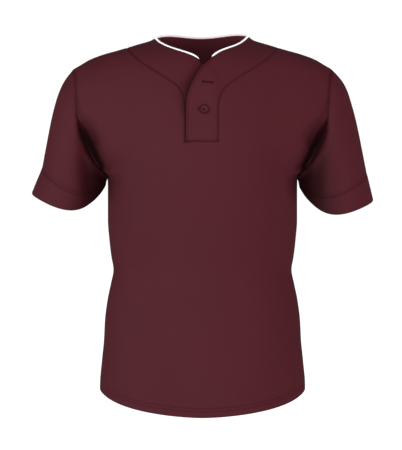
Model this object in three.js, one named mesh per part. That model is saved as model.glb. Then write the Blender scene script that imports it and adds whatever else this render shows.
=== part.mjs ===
import * as THREE from 'three';

// A short-sleeved two-button baseball jersey, filled out as on a wearer, with nothing in it.
// Millimetres. +X is the wearer's left, the front faces -Y and +Z is up.
// The origin is the middle of the shoulder line, level with the neck end of the shoulder seams.
// Every panel is a closed wall of cloth: an outer face that follows the garment's form and an inner one.

// Cloth
const WALL = 1.5;
const HEM_WALL = 2.6;
const SEAM_GAP = 0.3;
const HEM_TURN_UP = 18;

// Lengths and heights of the cut
const ARMHOLE_TOP = -62;
const UNDERARM = -272;
const PLACKET_BOTTOM = -210;
const NOTCH_SIDE = 40;
const YOKE_TOP = -18;
const HEM_SIDE = -697;
const HEM_CENTRE = -745;
const HEM_CURVE = { power: 1.42, wave: 0.08 };

// Level sections of the body. half is the half width at the sides and chest is the half width that the
// front and back are shaped on, which is less where the sides flare out to the sleeves. front and back are
// the depths from the shoulder line, and point is how pointed the sides are: 1 is an ellipse, less is
// squarer and more is a ridge.
const BODY_SECTIONS = [
  { z: -760, half: 205, chest: 205, front: 122, back: 118, point: 0.87 },
  { z: -692, half: 205, chest: 205, front: 121, back: 117, point: 0.87 },
  { z: -642, half: 201, chest: 201, front: 118, back: 114, point: 0.87 },
  { z: -602, half: 197, chest: 197, front: 116, back: 110, point: 0.87 },
  { z: -562, half: 195, chest: 195, front: 113, back: 106, point: 0.88 },
  { z: -522, half: 190, chest: 190, front: 111, back: 102, point: 0.9 },
  { z: -488, half: 183, chest: 183, front: 110, back: 99, point: 0.92 },
  { z: -461, half: 178, chest: 178, front: 110, back: 98, point: 0.93 },
  { z: -436, half: 182, chest: 182, front: 112, back: 99, point: 0.92 },
  { z: -402, half: 186, chest: 186, front: 116, back: 102, point: 0.9 },
  { z: -362, half: 189, chest: 189, front: 120, back: 107, point: 0.88 },
  { z: -312, half: 189, chest: 189, front: 126, back: 114, point: 0.87 },
  { z: -300, half: 189, chest: 189, front: 127, back: 116, point: 0.87 },
  { z: -284, half: 189.3, chest: 189.3, front: 128, back: 117.5, point: 0.87 },
  { z: -278, half: 190, chest: 189.4, front: 128.3, back: 118, point: 0.87 },
  { z: -272, half: 191.7, chest: 189.6, front: 128.5, back: 118.5, point: 0.87 },
  { z: -266, half: 201, chest: 190, front: 128.8, back: 119, point: 0.87 },
  { z: -260, half: 210, chest: 190.4, front: 129, back: 119.3, point: 0.87 },
  { z: -250, half: 220, chest: 191.5, front: 129.3, back: 120, point: 0.87 },
  { z: -240, half: 228, chest: 193, front: 129, back: 121, point: 0.88 },
  { z: -222, half: 240, chest: 198, front: 127.5, back: 122, point: 0.89 },
  { z: -210, half: 248, chest: 202, front: 127, back: 122, point: 0.9 },
  { z: -190, half: 259, chest: 209, front: 125, back: 121.5, point: 0.92 },
  { z: -165, half: 272, chest: 220, front: 121, back: 120, point: 0.96 },
  { z: -130, half: 284, chest: 238, front: 115, back: 117, point: 1.06 },
  { z: -100, half: 283, chest: 250, front: 108, back: 113, point: 1.18 },
  { z: -78, half: 272, chest: 254, front: 101, back: 109, point: 1.29 },
  { z: -62, half: 259, chest: 249, front: 94.5, back: 105, point: 1.38 },
  { z: -52, half: 243, chest: 238, front: 89.5, back: 102, point: 1.42 },
  { z: -42, half: 226, chest: 224, front: 82.5, back: 98.5, point: 1.43 },
  { z: -32, half: 200, chest: 200, front: 74, back: 94, point: 1.42 },
  { z: -22, half: 165, chest: 165, front: 62, back: 88, point: 1.35 },
  { z: -12, half: 132, chest: 132, front: 46, back: 81, point: 1.24 },
  { z: -2, half: 101, chest: 101, front: 30, back: 74, point: 1.1 },
  { z: 5, half: 93.5, chest: 93.5, front: 24, back: 69, point: 1 },
  { z: 14, half: 91, chest: 91, front: 20, back: 64, point: 1 },
];

// Where the sides start to flare and reach their full width, as shares of the chest's half width.
const FLARE = { start: 0.6, full: 0.95 };

// How the front and back round off towards the sides: squarer than an ellipse below, where the sides are
// blunt, and an ellipse above, where they are pointed.
const ROUNDING = { blunt: 0.9, plain: 1, bluntUpTo: 0.9, plainFrom: 1.2 };

// The armhole seam, the same in the front and the back view.
const ARMHOLE_SEAM = [
  { z: -272, side: 191.7 },
  { z: -266, side: 198.5 },
  { z: -255, side: 208.5 },
  { z: -242, side: 217.5 },
  { z: -220, side: 227.5 },
  { z: -205, side: 234 },
  { z: -190, side: 240 },
  { z: -175, side: 244.5 },
  { z: -150, side: 247.5 },
  { z: -120, side: 249 },
  { z: -90, side: 251.5 },
  { z: -78, side: 253 },
  { z: -68, side: 256 },
  { z: -62, side: 259 },
];

// The fold at the front of each armpit, where the chest goes back to the armhole: how deep it is, how far
// it reaches in from the seam, and the heights between which it sets in and is full.
const ARMPIT = { depth: 52, width: 19, top: -160, fullBelow: -210, fullAbove: -250, bottom: UNDERARM };

// Sleeve rings from the armhole to the hem. out and in are the ends of the ring at the top of the arm and
// under it, deep is its half depth, drop is how much lower its front lies than its back, and sag is how
// far the front and back lie below the line from out to in. lean is how far forward the in end lies. side
// is measured outwards from the middle.
const SLEEVE_RINGS = {
  left: [
    { outSide: 259, outZ: -62, inSide: 191.7, inZ: -272, deep: 58, drop: 0, sag: 0, lean: 0 },
    { outSide: 278, outZ: -82, inSide: 190.2, inZ: -276, deep: 61, drop: 1, sag: 1, lean: 4 },
    { outSide: 290, outZ: -104, inSide: 189.9, inZ: -277.5, deep: 63.5, drop: 3, sag: 1, lean: -3 },
    { outSide: 298, outZ: -130, inSide: 190, inZ: -279, deep: 65.5, drop: 6, sag: 2, lean: -9 },
    { outSide: 306, outZ: -158, inSide: 190.3, inZ: -280, deep: 67, drop: 9, sag: 5, lean: -13 },
    { outSide: 313, outZ: -190, inSide: 190.7, inZ: -281, deep: 68, drop: 12, sag: 10, lean: -15 },
    { outSide: 319, outZ: -220, inSide: 191.3, inZ: -282.5, deep: 68.5, drop: 14, sag: 14, lean: -15 },
    { outSide: 324, outZ: -246, inSide: 192, inZ: -284, deep: 68.5, drop: 16, sag: 17, lean: -15 },
    { outSide: 329, outZ: -271, inSide: 192.8, inZ: -286, deep: 68, drop: 17, sag: 19.5, lean: -14 },
    { outSide: 335, outZ: -296, inSide: 194, inZ: -292, deep: 66, drop: 16, sag: 24.5, lean: -12 },
    { outSide: 341, outZ: -322, inSide: 195, inZ: -298, deep: 63, drop: 14, sag: 28, lean: -8 },
  ],
  right: [
    { outSide: 259, outZ: -62, inSide: 191.7, inZ: -272, deep: 58, drop: 0, sag: 0, lean: 0 },
    { outSide: 275, outZ: -82, inSide: 190.2, inZ: -276, deep: 61, drop: 1, sag: 1, lean: 4 },
    { outSide: 286, outZ: -104, inSide: 189.9, inZ: -277, deep: 63.5, drop: 3, sag: 1, lean: -3 },
    { outSide: 294, outZ: -128, inSide: 190, inZ: -278, deep: 65.5, drop: 6, sag: 2, lean: -9 },
    { outSide: 301, outZ: -155, inSide: 190.3, inZ: -279, deep: 67, drop: 9, sag: 5, lean: -13 },
    { outSide: 307, outZ: -184, inSide: 190.7, inZ: -280, deep: 68, drop: 12, sag: 10, lean: -15 },
    { outSide: 312.5, outZ: -213, inSide: 191.3, inZ: -281, deep: 68.5, drop: 14, sag: 14, lean: -15 },
    { outSide: 317, outZ: -237, inSide: 192, inZ: -282, deep: 68.5, drop: 16, sag: 17, lean: -15 },
    { outSide: 321, outZ: -259, inSide: 192.8, inZ: -283.5, deep: 68, drop: 17, sag: 19.5, lean: -14 },
    { outSide: 331, outZ: -283, inSide: 193.8, inZ: -288.5, deep: 66, drop: 16, sag: 24.5, lean: -12 },
    { outSide: 341, outZ: -308, inSide: 194.5, inZ: -294, deep: 63, drop: 14, sag: 28, lean: -8 },
  ],
};
const CUFF_SEAM_RING = 8;
const RING_SKEW = 0.6;
const LEAN_POWER = 1.5;

// How fast a sleeve leaves the armhole's own shape for that of its rings, sideways and in depth.
const FIT_POWER = { side: 2, depth: 8 };
const CUFF_PROUD = 0.5;
const MITRE_LIMIT = 1.6;

// The seam between the neck yoke and the front, by height: half is measured from the placket's middle.
const PLACKET_MIDDLE = -1.3;
const YOKE_SEAM = [
  { z: -210, half: 32 },
  { z: -142, half: 32.3 },
  { z: -126, half: 34.8 },
  { z: -110.5, half: 41.5 },
  { z: -97, half: 53.8 },
  { z: -77.6, half: 82.7 },
  { z: -52.5, half: 120 },
  { z: -34, half: 140.5 },
];

// The front neckline of each yoke, from the front tip to the shoulder seam, seen from the front.
const LEFT_NECKLINE = [
  { x: 18, z: -46.5 },
  { x: 26.8, z: -39.6 },
  { x: 35.3, z: -33.8 },
  { x: 47.4, z: -28.4 },
  { x: 63.8, z: -21.5 },
  { x: 76.6, z: -14 },
  { x: 86.4, z: -4.8 },
  { x: 93.8, z: 4.5 },
];
const RIGHT_NECKLINE = [
  { x: 4.5, z: -56 },
  { x: 7.5, z: -51.2 },
  { x: 13.7, z: -45.6 },
  { x: 22.6, z: -40.8 },
  { x: 34.8, z: -35.8 },
  { x: 52.5, z: -29.2 },
  { x: 70.6, z: -21.3 },
  { x: 86.6, z: -11 },
  { x: 95.5, z: 1 },
];

// The front edge of the top placket, which shows, and of the under placket, which lies below it.
const TOP_PLACKET_EDGE = [
  { z: -210, x: -30.8 },
  { z: -149, x: -30.1 },
  { z: -127.3, x: -29.1 },
  { z: -109.7, x: -24.9 },
  { z: -93.6, x: -18 },
  { z: -77.5, x: -9.5 },
  { z: -61.2, x: 1 },
  { z: -52.1, x: 11.5 },
  { z: -46.5, x: 18 },
];
const UNDER_PLACKET_EDGE = [
  { z: -210, x: 21 },
  { z: -135, x: 21 },
  { z: -115, x: 22.5 },
  { z: -96, x: 24 },
  { z: -82, x: 21 },
  { z: -70, x: 12 },
  { z: -62, x: 3 },
  { z: -56, x: -4.5 },
];

// The back neckline: how far it rises in its middle, how round it is, and how far it swells either side.
const BACK_NECK = { rise: 4.5, roundness: 0.5, swell: 4 };

// Buttons, seen from the front, and half their section: in is measured from the rim towards the middle.
const BUTTON_RADIUS = 9.5;
const BUTTON_PROFILE = [
  { in: 9.5, height: 0 },
  { in: 1.4, height: 0 },
  { in: 0.3, height: 0.5 },
  { in: 0, height: 1.4 },
  { in: 0.4, height: 2.4 },
  { in: 1.6, height: 2.6 },
  { in: 2.5, height: 1.9 },
  { in: 4.8, height: 1.75 },
  { in: 6.6, height: 1.6 },
  { in: 9.5, height: 1.55 },
];
const LOWER_BUTTON = { x: 2.9, z: -148.5 };
const TOP_BUTTON = { x: 10, z: -96 };

// The top placket stands off the under placket, and farther over the hidden button.
const PLACKET_CLEARANCE = 0.8;
const PLACKET_STEP = { start: 1, end: 8 };
const BUTTON_ROOM = { height: 4, reach: 36, edge: 21, fade: 13 };

const PIPING = { half: 2.15, thick: 1.5 };

// The largest folds: soft troughs in the cloth, each from one end to the other in the front view.
const FRONT_FOLDS = [
  { x0: -205, z0: -270, x1: -80, z1: -284, width: 13, depth: 2.4 },
  { x0: 205, z0: -272, x1: 96, z1: -290, width: 12, depth: 2.2 },
  { x0: -176, z0: -298, x1: -158, z1: -400, width: 14, depth: 2.6 },
  { x0: 150, z0: -330, x1: 186, z1: -440, width: 15, depth: 4.5 },
  { x0: 128, z0: -384, x1: 184, z1: -520, width: 18, depth: 4.5 },
  { x0: -186, z0: -450, x1: -140, z1: -580, width: 20, depth: 3 },
  { x0: 30, z0: -430, x1: 80, z1: -640, width: 34, depth: 2.2 },
];
const BACK_FOLDS = [
  { x0: -200, z0: -250, x1: -70, z1: -292, width: 16, depth: 4 },
  { x0: 200, z0: -256, x1: 84, z1: -304, width: 16, depth: 3.4 },
  { x0: -182, z0: -420, x1: -90, z1: -474, width: 18, depth: 4.5 },
  { x0: 182, z0: -414, x1: 60, z1: -462, width: 17, depth: 4 },
  { x0: -176, z0: -500, x1: -118, z1: -640, width: 22, depth: 3.6 },
  { x0: 172, z0: -486, x1: 126, z1: -606, width: 20, depth: 4 },
  { x0: -150, z0: -110, x1: -196, z1: -190, width: 16, depth: 3.2 },
  { x0: 150, z0: -118, x1: 194, z1: -186, width: 17, depth: 3 },
];

// How far along a fold its ends are drawn in, and how far from the sides the folds run out.
const FOLD_END = 0.12;
const FOLD_SIDE_FADE = 0.35;

// How finely the walls are divided, how small a turn gives the way out of the cloth, how near two places
// are the same, how closely a yoke's rows crowd at the placket's tip, and how often the piping's upward
// directions are evened out.
const ROWS_BELOW = 10;
const ROWS_ABOVE = 12;
const SIDE_COLUMNS = 11;
const NOTCH_COLUMNS = 6;
const YOKE_COLUMNS = 6;
const BACK_SHOULDER_COLUMNS = 7;
const BACK_NECK_COLUMNS = 10;
const NECK_ROW = 8;
const PIPING_SIDES = 8;
const BUTTON_SIDES = 20;
const HALVINGS = 40;
const SMALL_TURN = 0.004;
const SAME_PLACE = 0.01;
const TIP_CROWDING = 0.9;
const PIPING_EVENINGS = 3;

// Colours of the pieces
const MAROON = new THREE.MeshStandardMaterial({ color: 0x52262e, roughness: 0.8, metalness: 0 });
const WHITE = new THREE.MeshStandardMaterial({ color: 0xf6f2f0, roughness: 0.6, metalness: 0 });
const BUTTON_RED = new THREE.MeshStandardMaterial({ color: 0x4c1f28, roughness: 0.35, metalness: 0 });

const vec = (x, y, z) => new THREE.Vector3(x, y, z);
const lerp = THREE.MathUtils.lerp;
const smooth = THREE.MathUtils.smoothstep;
const steps = (count) => Array.from({ length: count + 1 }, (_, i) => i / count);

// A smooth curve through two columns of a table, with no overshoot between its rows.
function curveOf(table, along, value) {
  const rows = [...table].sort((p, q) => p[along] - q[along]);
  const at = rows.map((row) => row[along]);
  const y = rows.map((row) => row[value]);
  const rise = at.slice(1).map((x, i) => (y[i + 1] - y[i]) / (x - at[i]));
  const slope = at.map((_, i) => {
    if (i === 0) return rise[0];
    if (i === rise.length) return rise[i - 1];
    const [before, after] = [rise[i - 1], rise[i]];
    return before * after <= 0 ? 0 : (2 * before * after) / (before + after);
  });
  return (x) => {
    const last = at.length - 2;
    let i = at.findIndex((_, k) => k === last || x < at[k + 1]);
    i = Math.max(0, i);
    const span = at[i + 1] - at[i];
    const t = Math.min(1, Math.max(0, (x - at[i]) / span));
    const left = (1 + 2 * t) * (1 - t) ** 2 * y[i] + t * (1 - t) ** 2 * span * slope[i];
    const right = t ** 2 * (3 - 2 * t) * y[i + 1] + t ** 2 * (t - 1) * span * slope[i + 1];
    return left + right;
  };
}

const halfWidth = curveOf(BODY_SECTIONS, 'z', 'half');
const chestHalf = curveOf(BODY_SECTIONS, 'z', 'chest');
const frontDepth = curveOf(BODY_SECTIONS, 'z', 'front');
const backDepth = curveOf(BODY_SECTIONS, 'z', 'back');
const pointedness = curveOf(BODY_SECTIONS, 'z', 'point');
const flatness = (z) => {
  const share = smooth(pointedness(z), ROUNDING.bluntUpTo, ROUNDING.plainFrom);
  return lerp(ROUNDING.blunt, ROUNDING.plain, share);
};
const yokeHalf = curveOf([...YOKE_SEAM, { z: YOKE_TOP, half: halfWidth(YOKE_TOP) }], 'z', 'half');
const armholeSide = curveOf(ARMHOLE_SEAM, 'z', 'side');
const leftNeckHeight = curveOf(LEFT_NECKLINE, 'x', 'z');
const rightNeckHeight = curveOf(RIGHT_NECKLINE, 'x', 'z');
const topPlacketEdge = curveOf(TOP_PLACKET_EDGE, 'z', 'x');
const underPlacketEdge = curveOf(UNDER_PLACKET_EDGE, 'z', 'x');

// How far the folds pull the cloth in at a place of the front or back view.
function foldDepth(folds, x, z) {
  let depth = 0;
  for (const fold of folds) {
    const [runX, runZ] = [fold.x1 - fold.x0, fold.z1 - fold.z0];
    const along = ((x - fold.x0) * runX + (z - fold.z0) * runZ) / (runX ** 2 + runZ ** 2);
    const held = Math.min(1, Math.max(0, along));
    const away = Math.hypot(x - fold.x0 - held * runX, z - fold.z0 - held * runZ);
    const swell = Math.sin(Math.PI * lerp(FOLD_END, 1 - FOLD_END, held));
    depth += fold.depth * swell * Math.exp(-((away / fold.width) ** 2));
  }
  return depth;
}

// How far the front goes back towards the armhole at the armpit's fold.
function armpitDepth(x, z) {
  const fromAbove = 1 - smooth(z, ARMPIT.fullBelow, ARMPIT.top);
  const fromBelow = smooth(z, ARMPIT.bottom, ARMPIT.fullAbove);
  const inward = Math.max(0, armholeSide(z) - Math.abs(x));
  return ARMPIT.depth * fromAbove * fromBelow * Math.exp(-((inward / ARMPIT.width) ** 2));
}

// Half the body's width at a share of the way round to the side.
function sideReach(share, z) {
  const flare = (halfWidth(z) - chestHalf(z)) * smooth(share, FLARE.start, FLARE.full);
  return (chestHalf(z) + flare) * share ** pointedness(z);
}

// A point of the body's outer face. turn is 0 at the middle of the front, a quarter turn at the wearer's
// left side, half a turn at the middle of the back.
function bodyPoint(turn, z) {
  const sideways = Math.sin(turn);
  const forward = Math.cos(turn);
  const x = Math.sign(sideways) * sideReach(Math.abs(sideways), z);
  const deep = Math.abs(forward) ** flatness(z);
  const ease = smooth(Math.abs(forward), 0, FOLD_SIDE_FADE);
  if (forward > 0) {
    const flat = -frontDepth(z) * deep + ease * foldDepth(FRONT_FOLDS, x, z);
    return vec(x, Math.min(0, flat + armpitDepth(x, z)), z);
  }
  return vec(x, backDepth(z) * deep - ease * foldDepth(BACK_FOLDS, x, z), z);
}

// The turn of the body's point at a place of the front or back view, found by halving.
function turnAt(x, z, behind) {
  let [low, high] = [0, 1];
  for (let pass = 0; pass < HALVINGS; pass += 1) {
    const share = (low + high) / 2;
    if (sideReach(share, z) < Math.abs(x)) low = share;
    else high = share;
  }
  const turn = Math.asin(high);
  return Math.sign(x || 1) * (behind ? Math.PI - turn : turn);
}

// The way out of the cloth at a point of the body.
function bodyNormal(turn, z) {
  const around = bodyPoint(turn + SMALL_TURN, z).sub(bodyPoint(turn - SMALL_TURN, z));
  const upward = bodyPoint(turn, z + 1).sub(bodyPoint(turn, z - 1));
  return around.cross(upward).normalize();
}

// A body panel's point and the point of its inner face below it, seen from the front or from behind.
function clothAt(x, z, behind, lift = 0, wall = WALL) {
  const turn = turnAt(x, z, behind);
  const normal = bodyNormal(turn, z);
  const outer = bodyPoint(turn, z).addScaledVector(normal, lift);
  return { outer, inner: outer.clone().addScaledVector(normal, -wall) };
}

// A point inside four edges that meet at their ends, each edge a list of [x, z] places.
function between(bottom, top, start, end, i, j, u, v) {
  const last = bottom.length - 1;
  const high = start.length - 1;
  return [0, 1].map((k) => {
    const acrossRows = lerp(bottom[i][k], top[i][k], v);
    const acrossColumns = lerp(start[j][k], end[j][k], u);
    const low = lerp(bottom[0][k], bottom[last][k], u);
    const up = lerp(start[high][k], end[high][k], u);
    return acrossRows + acrossColumns - lerp(low, up, v);
  });
}

// A closed wall from a grid of outer and inner points. Cells that the panel doesn't have are left out,
// open edges are drawn in by half the seam gap, and a tube's last column joins its first.
function wallFromGrid(grid, hasCell = () => true, tube = false) {
  const rows = grid.length;
  const columns = grid[0].length;
  const cellColumns = tube ? columns : columns - 1;
  const id = (i, j) => j * columns + (i % columns);
  const cells = [];
  for (let j = 0; j < rows - 1; j += 1) {
    for (let i = 0; i < cellColumns; i += 1) {
      if (hasCell(i, j)) cells.push([id(i, j), id(i + 1, j), id(i + 1, j + 1), id(i, j + 1)]);
    }
  }
  const outer = grid.flat().map((p) => p.outer.clone());
  const inner = grid.flat().map((p) => p.inner.clone());
  const edges = new Map();
  for (const cell of cells) {
    cell.forEach((from, k) => {
      const to = cell[(k + 1) % 4];
      if (!edges.delete(`${to} ${from}`)) edges.set(`${from} ${to}`, { from, to, cell });
    });
  }
  const pulls = new Map();
  for (const { from, to, cell } of edges.values()) {
    const middle = cell.reduce((sum, k) => sum.add(outer[k]), vec(0, 0, 0)).divideScalar(4);
    const run = outer[to].clone().sub(outer[from]).normalize();
    const pull = middle.sub(outer[from]);
    pull.addScaledVector(run, -pull.dot(run)).normalize();
    for (const k of [from, to]) pulls.set(k, [...(pulls.get(k) || []), pull]);
  }
  for (const [k, both] of pulls) {
    const sum = both.reduce((total, pull) => total.add(pull), vec(0, 0, 0));
    const reach = both.length > 1 ? 1 + Math.max(-0.5, both[0].dot(both[1])) : 1;
    outer[k].addScaledVector(sum, SEAM_GAP / 2 / reach);
    inner[k].addScaledVector(sum, SEAM_GAP / 2 / reach);
  }
  const count = outer.length;
  const triangles = [];
  for (const [a, b, c, d] of cells) {
    const turned = outer[a].distanceTo(outer[c]) > outer[b].distanceTo(outer[d]);
    const halves = turned ? [[a, b, d], [b, c, d]] : [[a, b, c], [a, c, d]];
    for (const [p, q, r] of halves) triangles.push([p, q, r], [p + count, r + count, q + count]);
  }
  for (const { from, to } of edges.values()) {
    const upward = outer[from].z < outer[to].z;
    if (upward) triangles.push([to, from, to + count], [from, from + count, to + count]);
    else triangles.push([to, from, from + count], [to, from + count, to + count]);
  }
  return meshShape([...outer, ...inner], triangles);
}

function meshShape(points, triangles) {
  const shape = new THREE.BufferGeometry();
  const used = [...new Set(triangles.flat())];
  const place = new Map(used.map((k, i) => [k, i]));
  const flat = used.flatMap((k) => points[k].toArray());
  shape.setAttribute('position', new THREE.Float32BufferAttribute(flat, 3));
  shape.setIndex(triangles.flat().map((k) => place.get(k)));
  return shape;
}

// Armhole and sleeves

const ringAngles = steps(ROWS_ABOVE).map((s) => Math.PI * (1 - s));

// A place on the armhole seam. angle is 0 at the shoulder tip and half a turn at the underarm.
function armholePlace(angle) {
  const z = lerp(UNDERARM, ARMHOLE_TOP, (1 + Math.cos(angle)) / 2);
  return { x: armholeSide(z), z };
}

function armholePoint(hand, angle) {
  const behind = angle > Math.PI;
  const { x, z } = armholePlace(angle);
  return bodyPoint(turnAt(hand * x, z, behind), z);
}

// The angles round a sleeve ring: from the underarm up the front, over the top and down the back.
const around = [
  ...ringAngles.slice(0, ROWS_ABOVE),
  ...steps(ROWS_ABOVE).slice(0, ROWS_ABOVE).map((s) => 2 * Math.PI - Math.PI * s),
];

function plainRingPoint(hand, ring, angle) {
  const across = Math.cos(angle);
  const forward = Math.sin(angle);
  const sag = ring.sag * forward ** 2 * (1 - RING_SKEW * across);
  const side = lerp(ring.inSide, ring.outSide, (1 + across) / 2);
  const z = lerp(ring.inZ, ring.outZ, (1 + across) / 2) - ring.drop * forward - sag;
  const lean = ring.lean * ((1 - across) / 2) ** LEAN_POWER;
  return vec(hand * side, -ring.deep * forward - lean, z);
}

function sleevePoint(hand, rings, k, angle) {
  const point = plainRingPoint(hand, rings[k], angle);
  const left = Math.max(0, 1 - k / CUFF_SEAM_RING);
  const fit = armholePoint(hand, angle).sub(plainRingPoint(hand, rings[0], angle));
  const sideways = left ** FIT_POWER.side;
  return point.add(fit.multiply(vec(sideways, left ** FIT_POWER.depth, sideways)));
}

// The outer points of a sleeve and the way out of the cloth at each.
function sleeveFace(hand, rings) {
  const points = rings.map((_, k) => around.map((angle) => sleevePoint(hand, rings, k, angle)));
  const normals = points.map((row, k) => row.map((_, i) => {
    const next = row[(i + 1) % row.length].clone().sub(row[(i + row.length - 1) % row.length]);
    const down = points[Math.min(k + 1, rings.length - 1)][i].clone().sub(points[Math.max(k - 1, 0)][i]);
    return next.cross(down).multiplyScalar(-hand).normalize();
  }));
  return { points, normals };
}

const sleeves = [
  { name: 'left', hand: 1, ...sleeveFace(1, SLEEVE_RINGS.left) },
  { name: 'right', hand: -1, ...sleeveFace(-1, SLEEVE_RINGS.right) },
];

// The two faces of the cloth along an armhole, mitred between body and sleeve.
for (const sleeve of sleeves) {
  sleeve.armhole = around.map((angle, i) => {
    const outer = sleeve.points[0][i];
    const behind = angle > Math.PI;
    const bodyOut = bodyNormal(turnAt(outer.x, outer.z, behind), outer.z);
    const sleeveOut = sleeve.normals[0][i];
    const mitre = bodyOut.clone().add(sleeveOut).normalize();
    const length = Math.min(WALL / mitre.dot(sleeveOut), MITRE_LIMIT * WALL);
    return { outer, inner: outer.clone().addScaledVector(mitre, -length) };
  });
}

// One edge of a body panel along an armhole, from the underarm to the shoulder tip.
function armholeEdge(sleeve, behind) {
  const count = around.length;
  return steps(ROWS_ABOVE).map((_, j) => sleeve.armhole[behind ? (count - j) % count : j]);
}

function sleeveWall(sleeve, fromRing, toRing, proud, wall) {
  const grid = [];
  for (let k = fromRing; k <= toRing; k += 1) {
    grid.push(sleeve.points[k].map((point, i) => {
      if (k === 0) return sleeve.armhole[i];
      const normal = sleeve.normals[k][i];
      const outer = point.clone().addScaledVector(normal, proud);
      return { outer, inner: outer.clone().addScaledVector(normal, -wall) };
    }));
  }
  if (sleeve.hand > 0) return wallFromGrid(grid.map((row) => [...row].reverse()), undefined, true);
  return wallFromGrid(grid, undefined, true);
}

// Body panels

const heightShare = steps(ROWS_ABOVE).map((s) => (1 - Math.cos(Math.PI * s)) / 2);

function hemHeight(turn) {
  const round = Math.abs(turn) / (Math.PI / 2);
  const share = round ** HEM_CURVE.power + HEM_CURVE.wave * Math.sin(Math.PI * round ** 3);
  return lerp(HEM_CENTRE, HEM_SIDE, share);
}

// The level where the lower rows of a body panel end: the underarm at the sides, the notch in the middle.
function underarmLine(x) {
  return lerp(PLACKET_BOTTOM, UNDERARM, smooth(Math.abs(x), NOTCH_SIDE, halfWidth(UNDERARM)));
}

// The turns of a body panel's columns, from the wearer's right side to the left one.
function columnPlaces(outerCount, places) {
  const edge = turnAt(places[places.length - 1], PLACKET_BOTTOM, false);
  const start = turnAt(places[0], PLACKET_BOTTOM, false);
  const right = steps(outerCount).map((s) => lerp(-Math.PI / 2, start, s)).slice(0, -1);
  const left = steps(outerCount).map((s) => lerp(edge, Math.PI / 2, s)).slice(1);
  const toX = (turn) => Math.sign(turn) * sideReach(Math.abs(Math.sin(turn)), UNDERARM);
  return [...right.map(toX), ...places, ...left.map(toX)];
}

// Rows from the hem to the underarm line, the lowest two on the turned-up hem.
function lowerRows(places, behind) {
  const tops = places.map((x) => ({ x, z: underarmLine(x) }));
  const shares = [0, ...steps(ROWS_BELOW - 1)];
  return shares.map((share, row) => tops.map((top) => {
    const topTurn = turnAt(top.x, top.z, false);
    const hem = hemHeight(topTurn);
    const z = row === 0 ? hem : lerp(hem + HEM_TURN_UP, top.z, share);
    const turn = behind ? Math.PI - topTurn : topTurn;
    const normal = bodyNormal(turn, z);
    const outer = bodyPoint(turn, z);
    const wall = row < 2 ? HEM_WALL : WALL;
    return { outer, inner: outer.clone().addScaledVector(normal, -wall) };
  }));
}

const notchHalf = yokeHalf(PLACKET_BOTTOM);
const notchPlaces = steps(NOTCH_COLUMNS).map((s) => PLACKET_MIDDLE + lerp(-notchHalf, notchHalf, s));
const frontPlaces = columnPlaces(SIDE_COLUMNS, notchPlaces);

// Places along the yoke seam, from the placket's foot to the shoulder.
function yokeSeamPlaces(hand) {
  return heightShare.map((v) => {
    const z = lerp(PLACKET_BOTTOM, YOKE_TOP, v);
    const shift = PLACKET_MIDDLE * (1 - v);
    return [shift + hand * yokeHalf(z), z];
  });
}

// Points of the front beside the yoke, between its seam and the armhole.
function frontUpperGrid(sleeve) {
  const { hand } = sleeve;
  const armhole = armholeEdge(sleeve, false);
  const start = yokeSeamPlaces(hand);
  const end = armhole.map((p) => [p.outer.x, p.outer.z]);
  const sideX = frontPlaces.filter((x) => hand * x >= hand * start[0][0] - SAME_PLACE);
  const bottom = (hand > 0 ? sideX : [...sideX].reverse()).map((x) => [x, underarmLine(x)]);
  const top = steps(SIDE_COLUMNS).map((u) => {
    const z = lerp(YOKE_TOP, ARMHOLE_TOP, u);
    return [hand * halfWidth(z), z];
  });
  return heightShare.map((v, j) => steps(SIDE_COLUMNS).map((u, i) => {
    if (i === SIDE_COLUMNS) return armhole[j];
    const [x, z] = between(bottom, top, start, end, i, j, u, v);
    return clothAt(x, z, false);
  }));
}

function frontWall() {
  const lower = lowerRows(frontPlaces, false);
  const [left, right] = sleeves.map(frontUpperGrid);
  const gap = Array.from({ length: NOTCH_COLUMNS - 1 }, () => left[0][0]);
  const upper = heightShare.map((_, j) => [...[...right[j]].reverse(), ...gap, ...left[j]]);
  const underarm = lower[lower.length - 1];
  underarm[0] = upper[0][0];
  underarm[underarm.length - 1] = upper[0][underarm.length - 1];
  const notchEnd = SIDE_COLUMNS + NOTCH_COLUMNS;
  const inNotch = (i, j) => j >= lower.length - 1 && i >= SIDE_COLUMNS && i < notchEnd;
  return wallFromGrid([...lower, ...upper.slice(1)], (i, j) => !inNotch(i, j));
}

// The back's top edge: the shoulder seams, with the neckline between them.
function backTopPlaces() {
  const rightEnd = -RIGHT_NECKLINE[RIGHT_NECKLINE.length - 1].x;
  const leftEnd = LEFT_NECKLINE[LEFT_NECKLINE.length - 1].x;
  const rightZ = rightNeckHeight(-rightEnd);
  const leftZ = leftNeckHeight(leftEnd);
  const shoulder = (hand, neckZ) => steps(BACK_SHOULDER_COLUMNS).map((s) => {
    const z = lerp(ARMHOLE_TOP, neckZ, s);
    return [hand * halfWidth(z), z];
  });
  const neck = steps(BACK_NECK_COLUMNS).map((s) => {
    const turn = lerp(-Math.PI / 2, Math.PI / 2, s);
    const rise = BACK_NECK.rise * Math.abs(Math.cos(turn)) ** BACK_NECK.roundness;
    const z = lerp(rightZ, leftZ, s) + rise + BACK_NECK.swell * Math.sin(2 * turn) ** 2;
    return [Math.sin(turn) * halfWidth(z), z];
  });
  return [...shoulder(-1, rightZ).slice(0, -1), ...neck, ...shoulder(1, leftZ).reverse().slice(1)];
}

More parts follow.
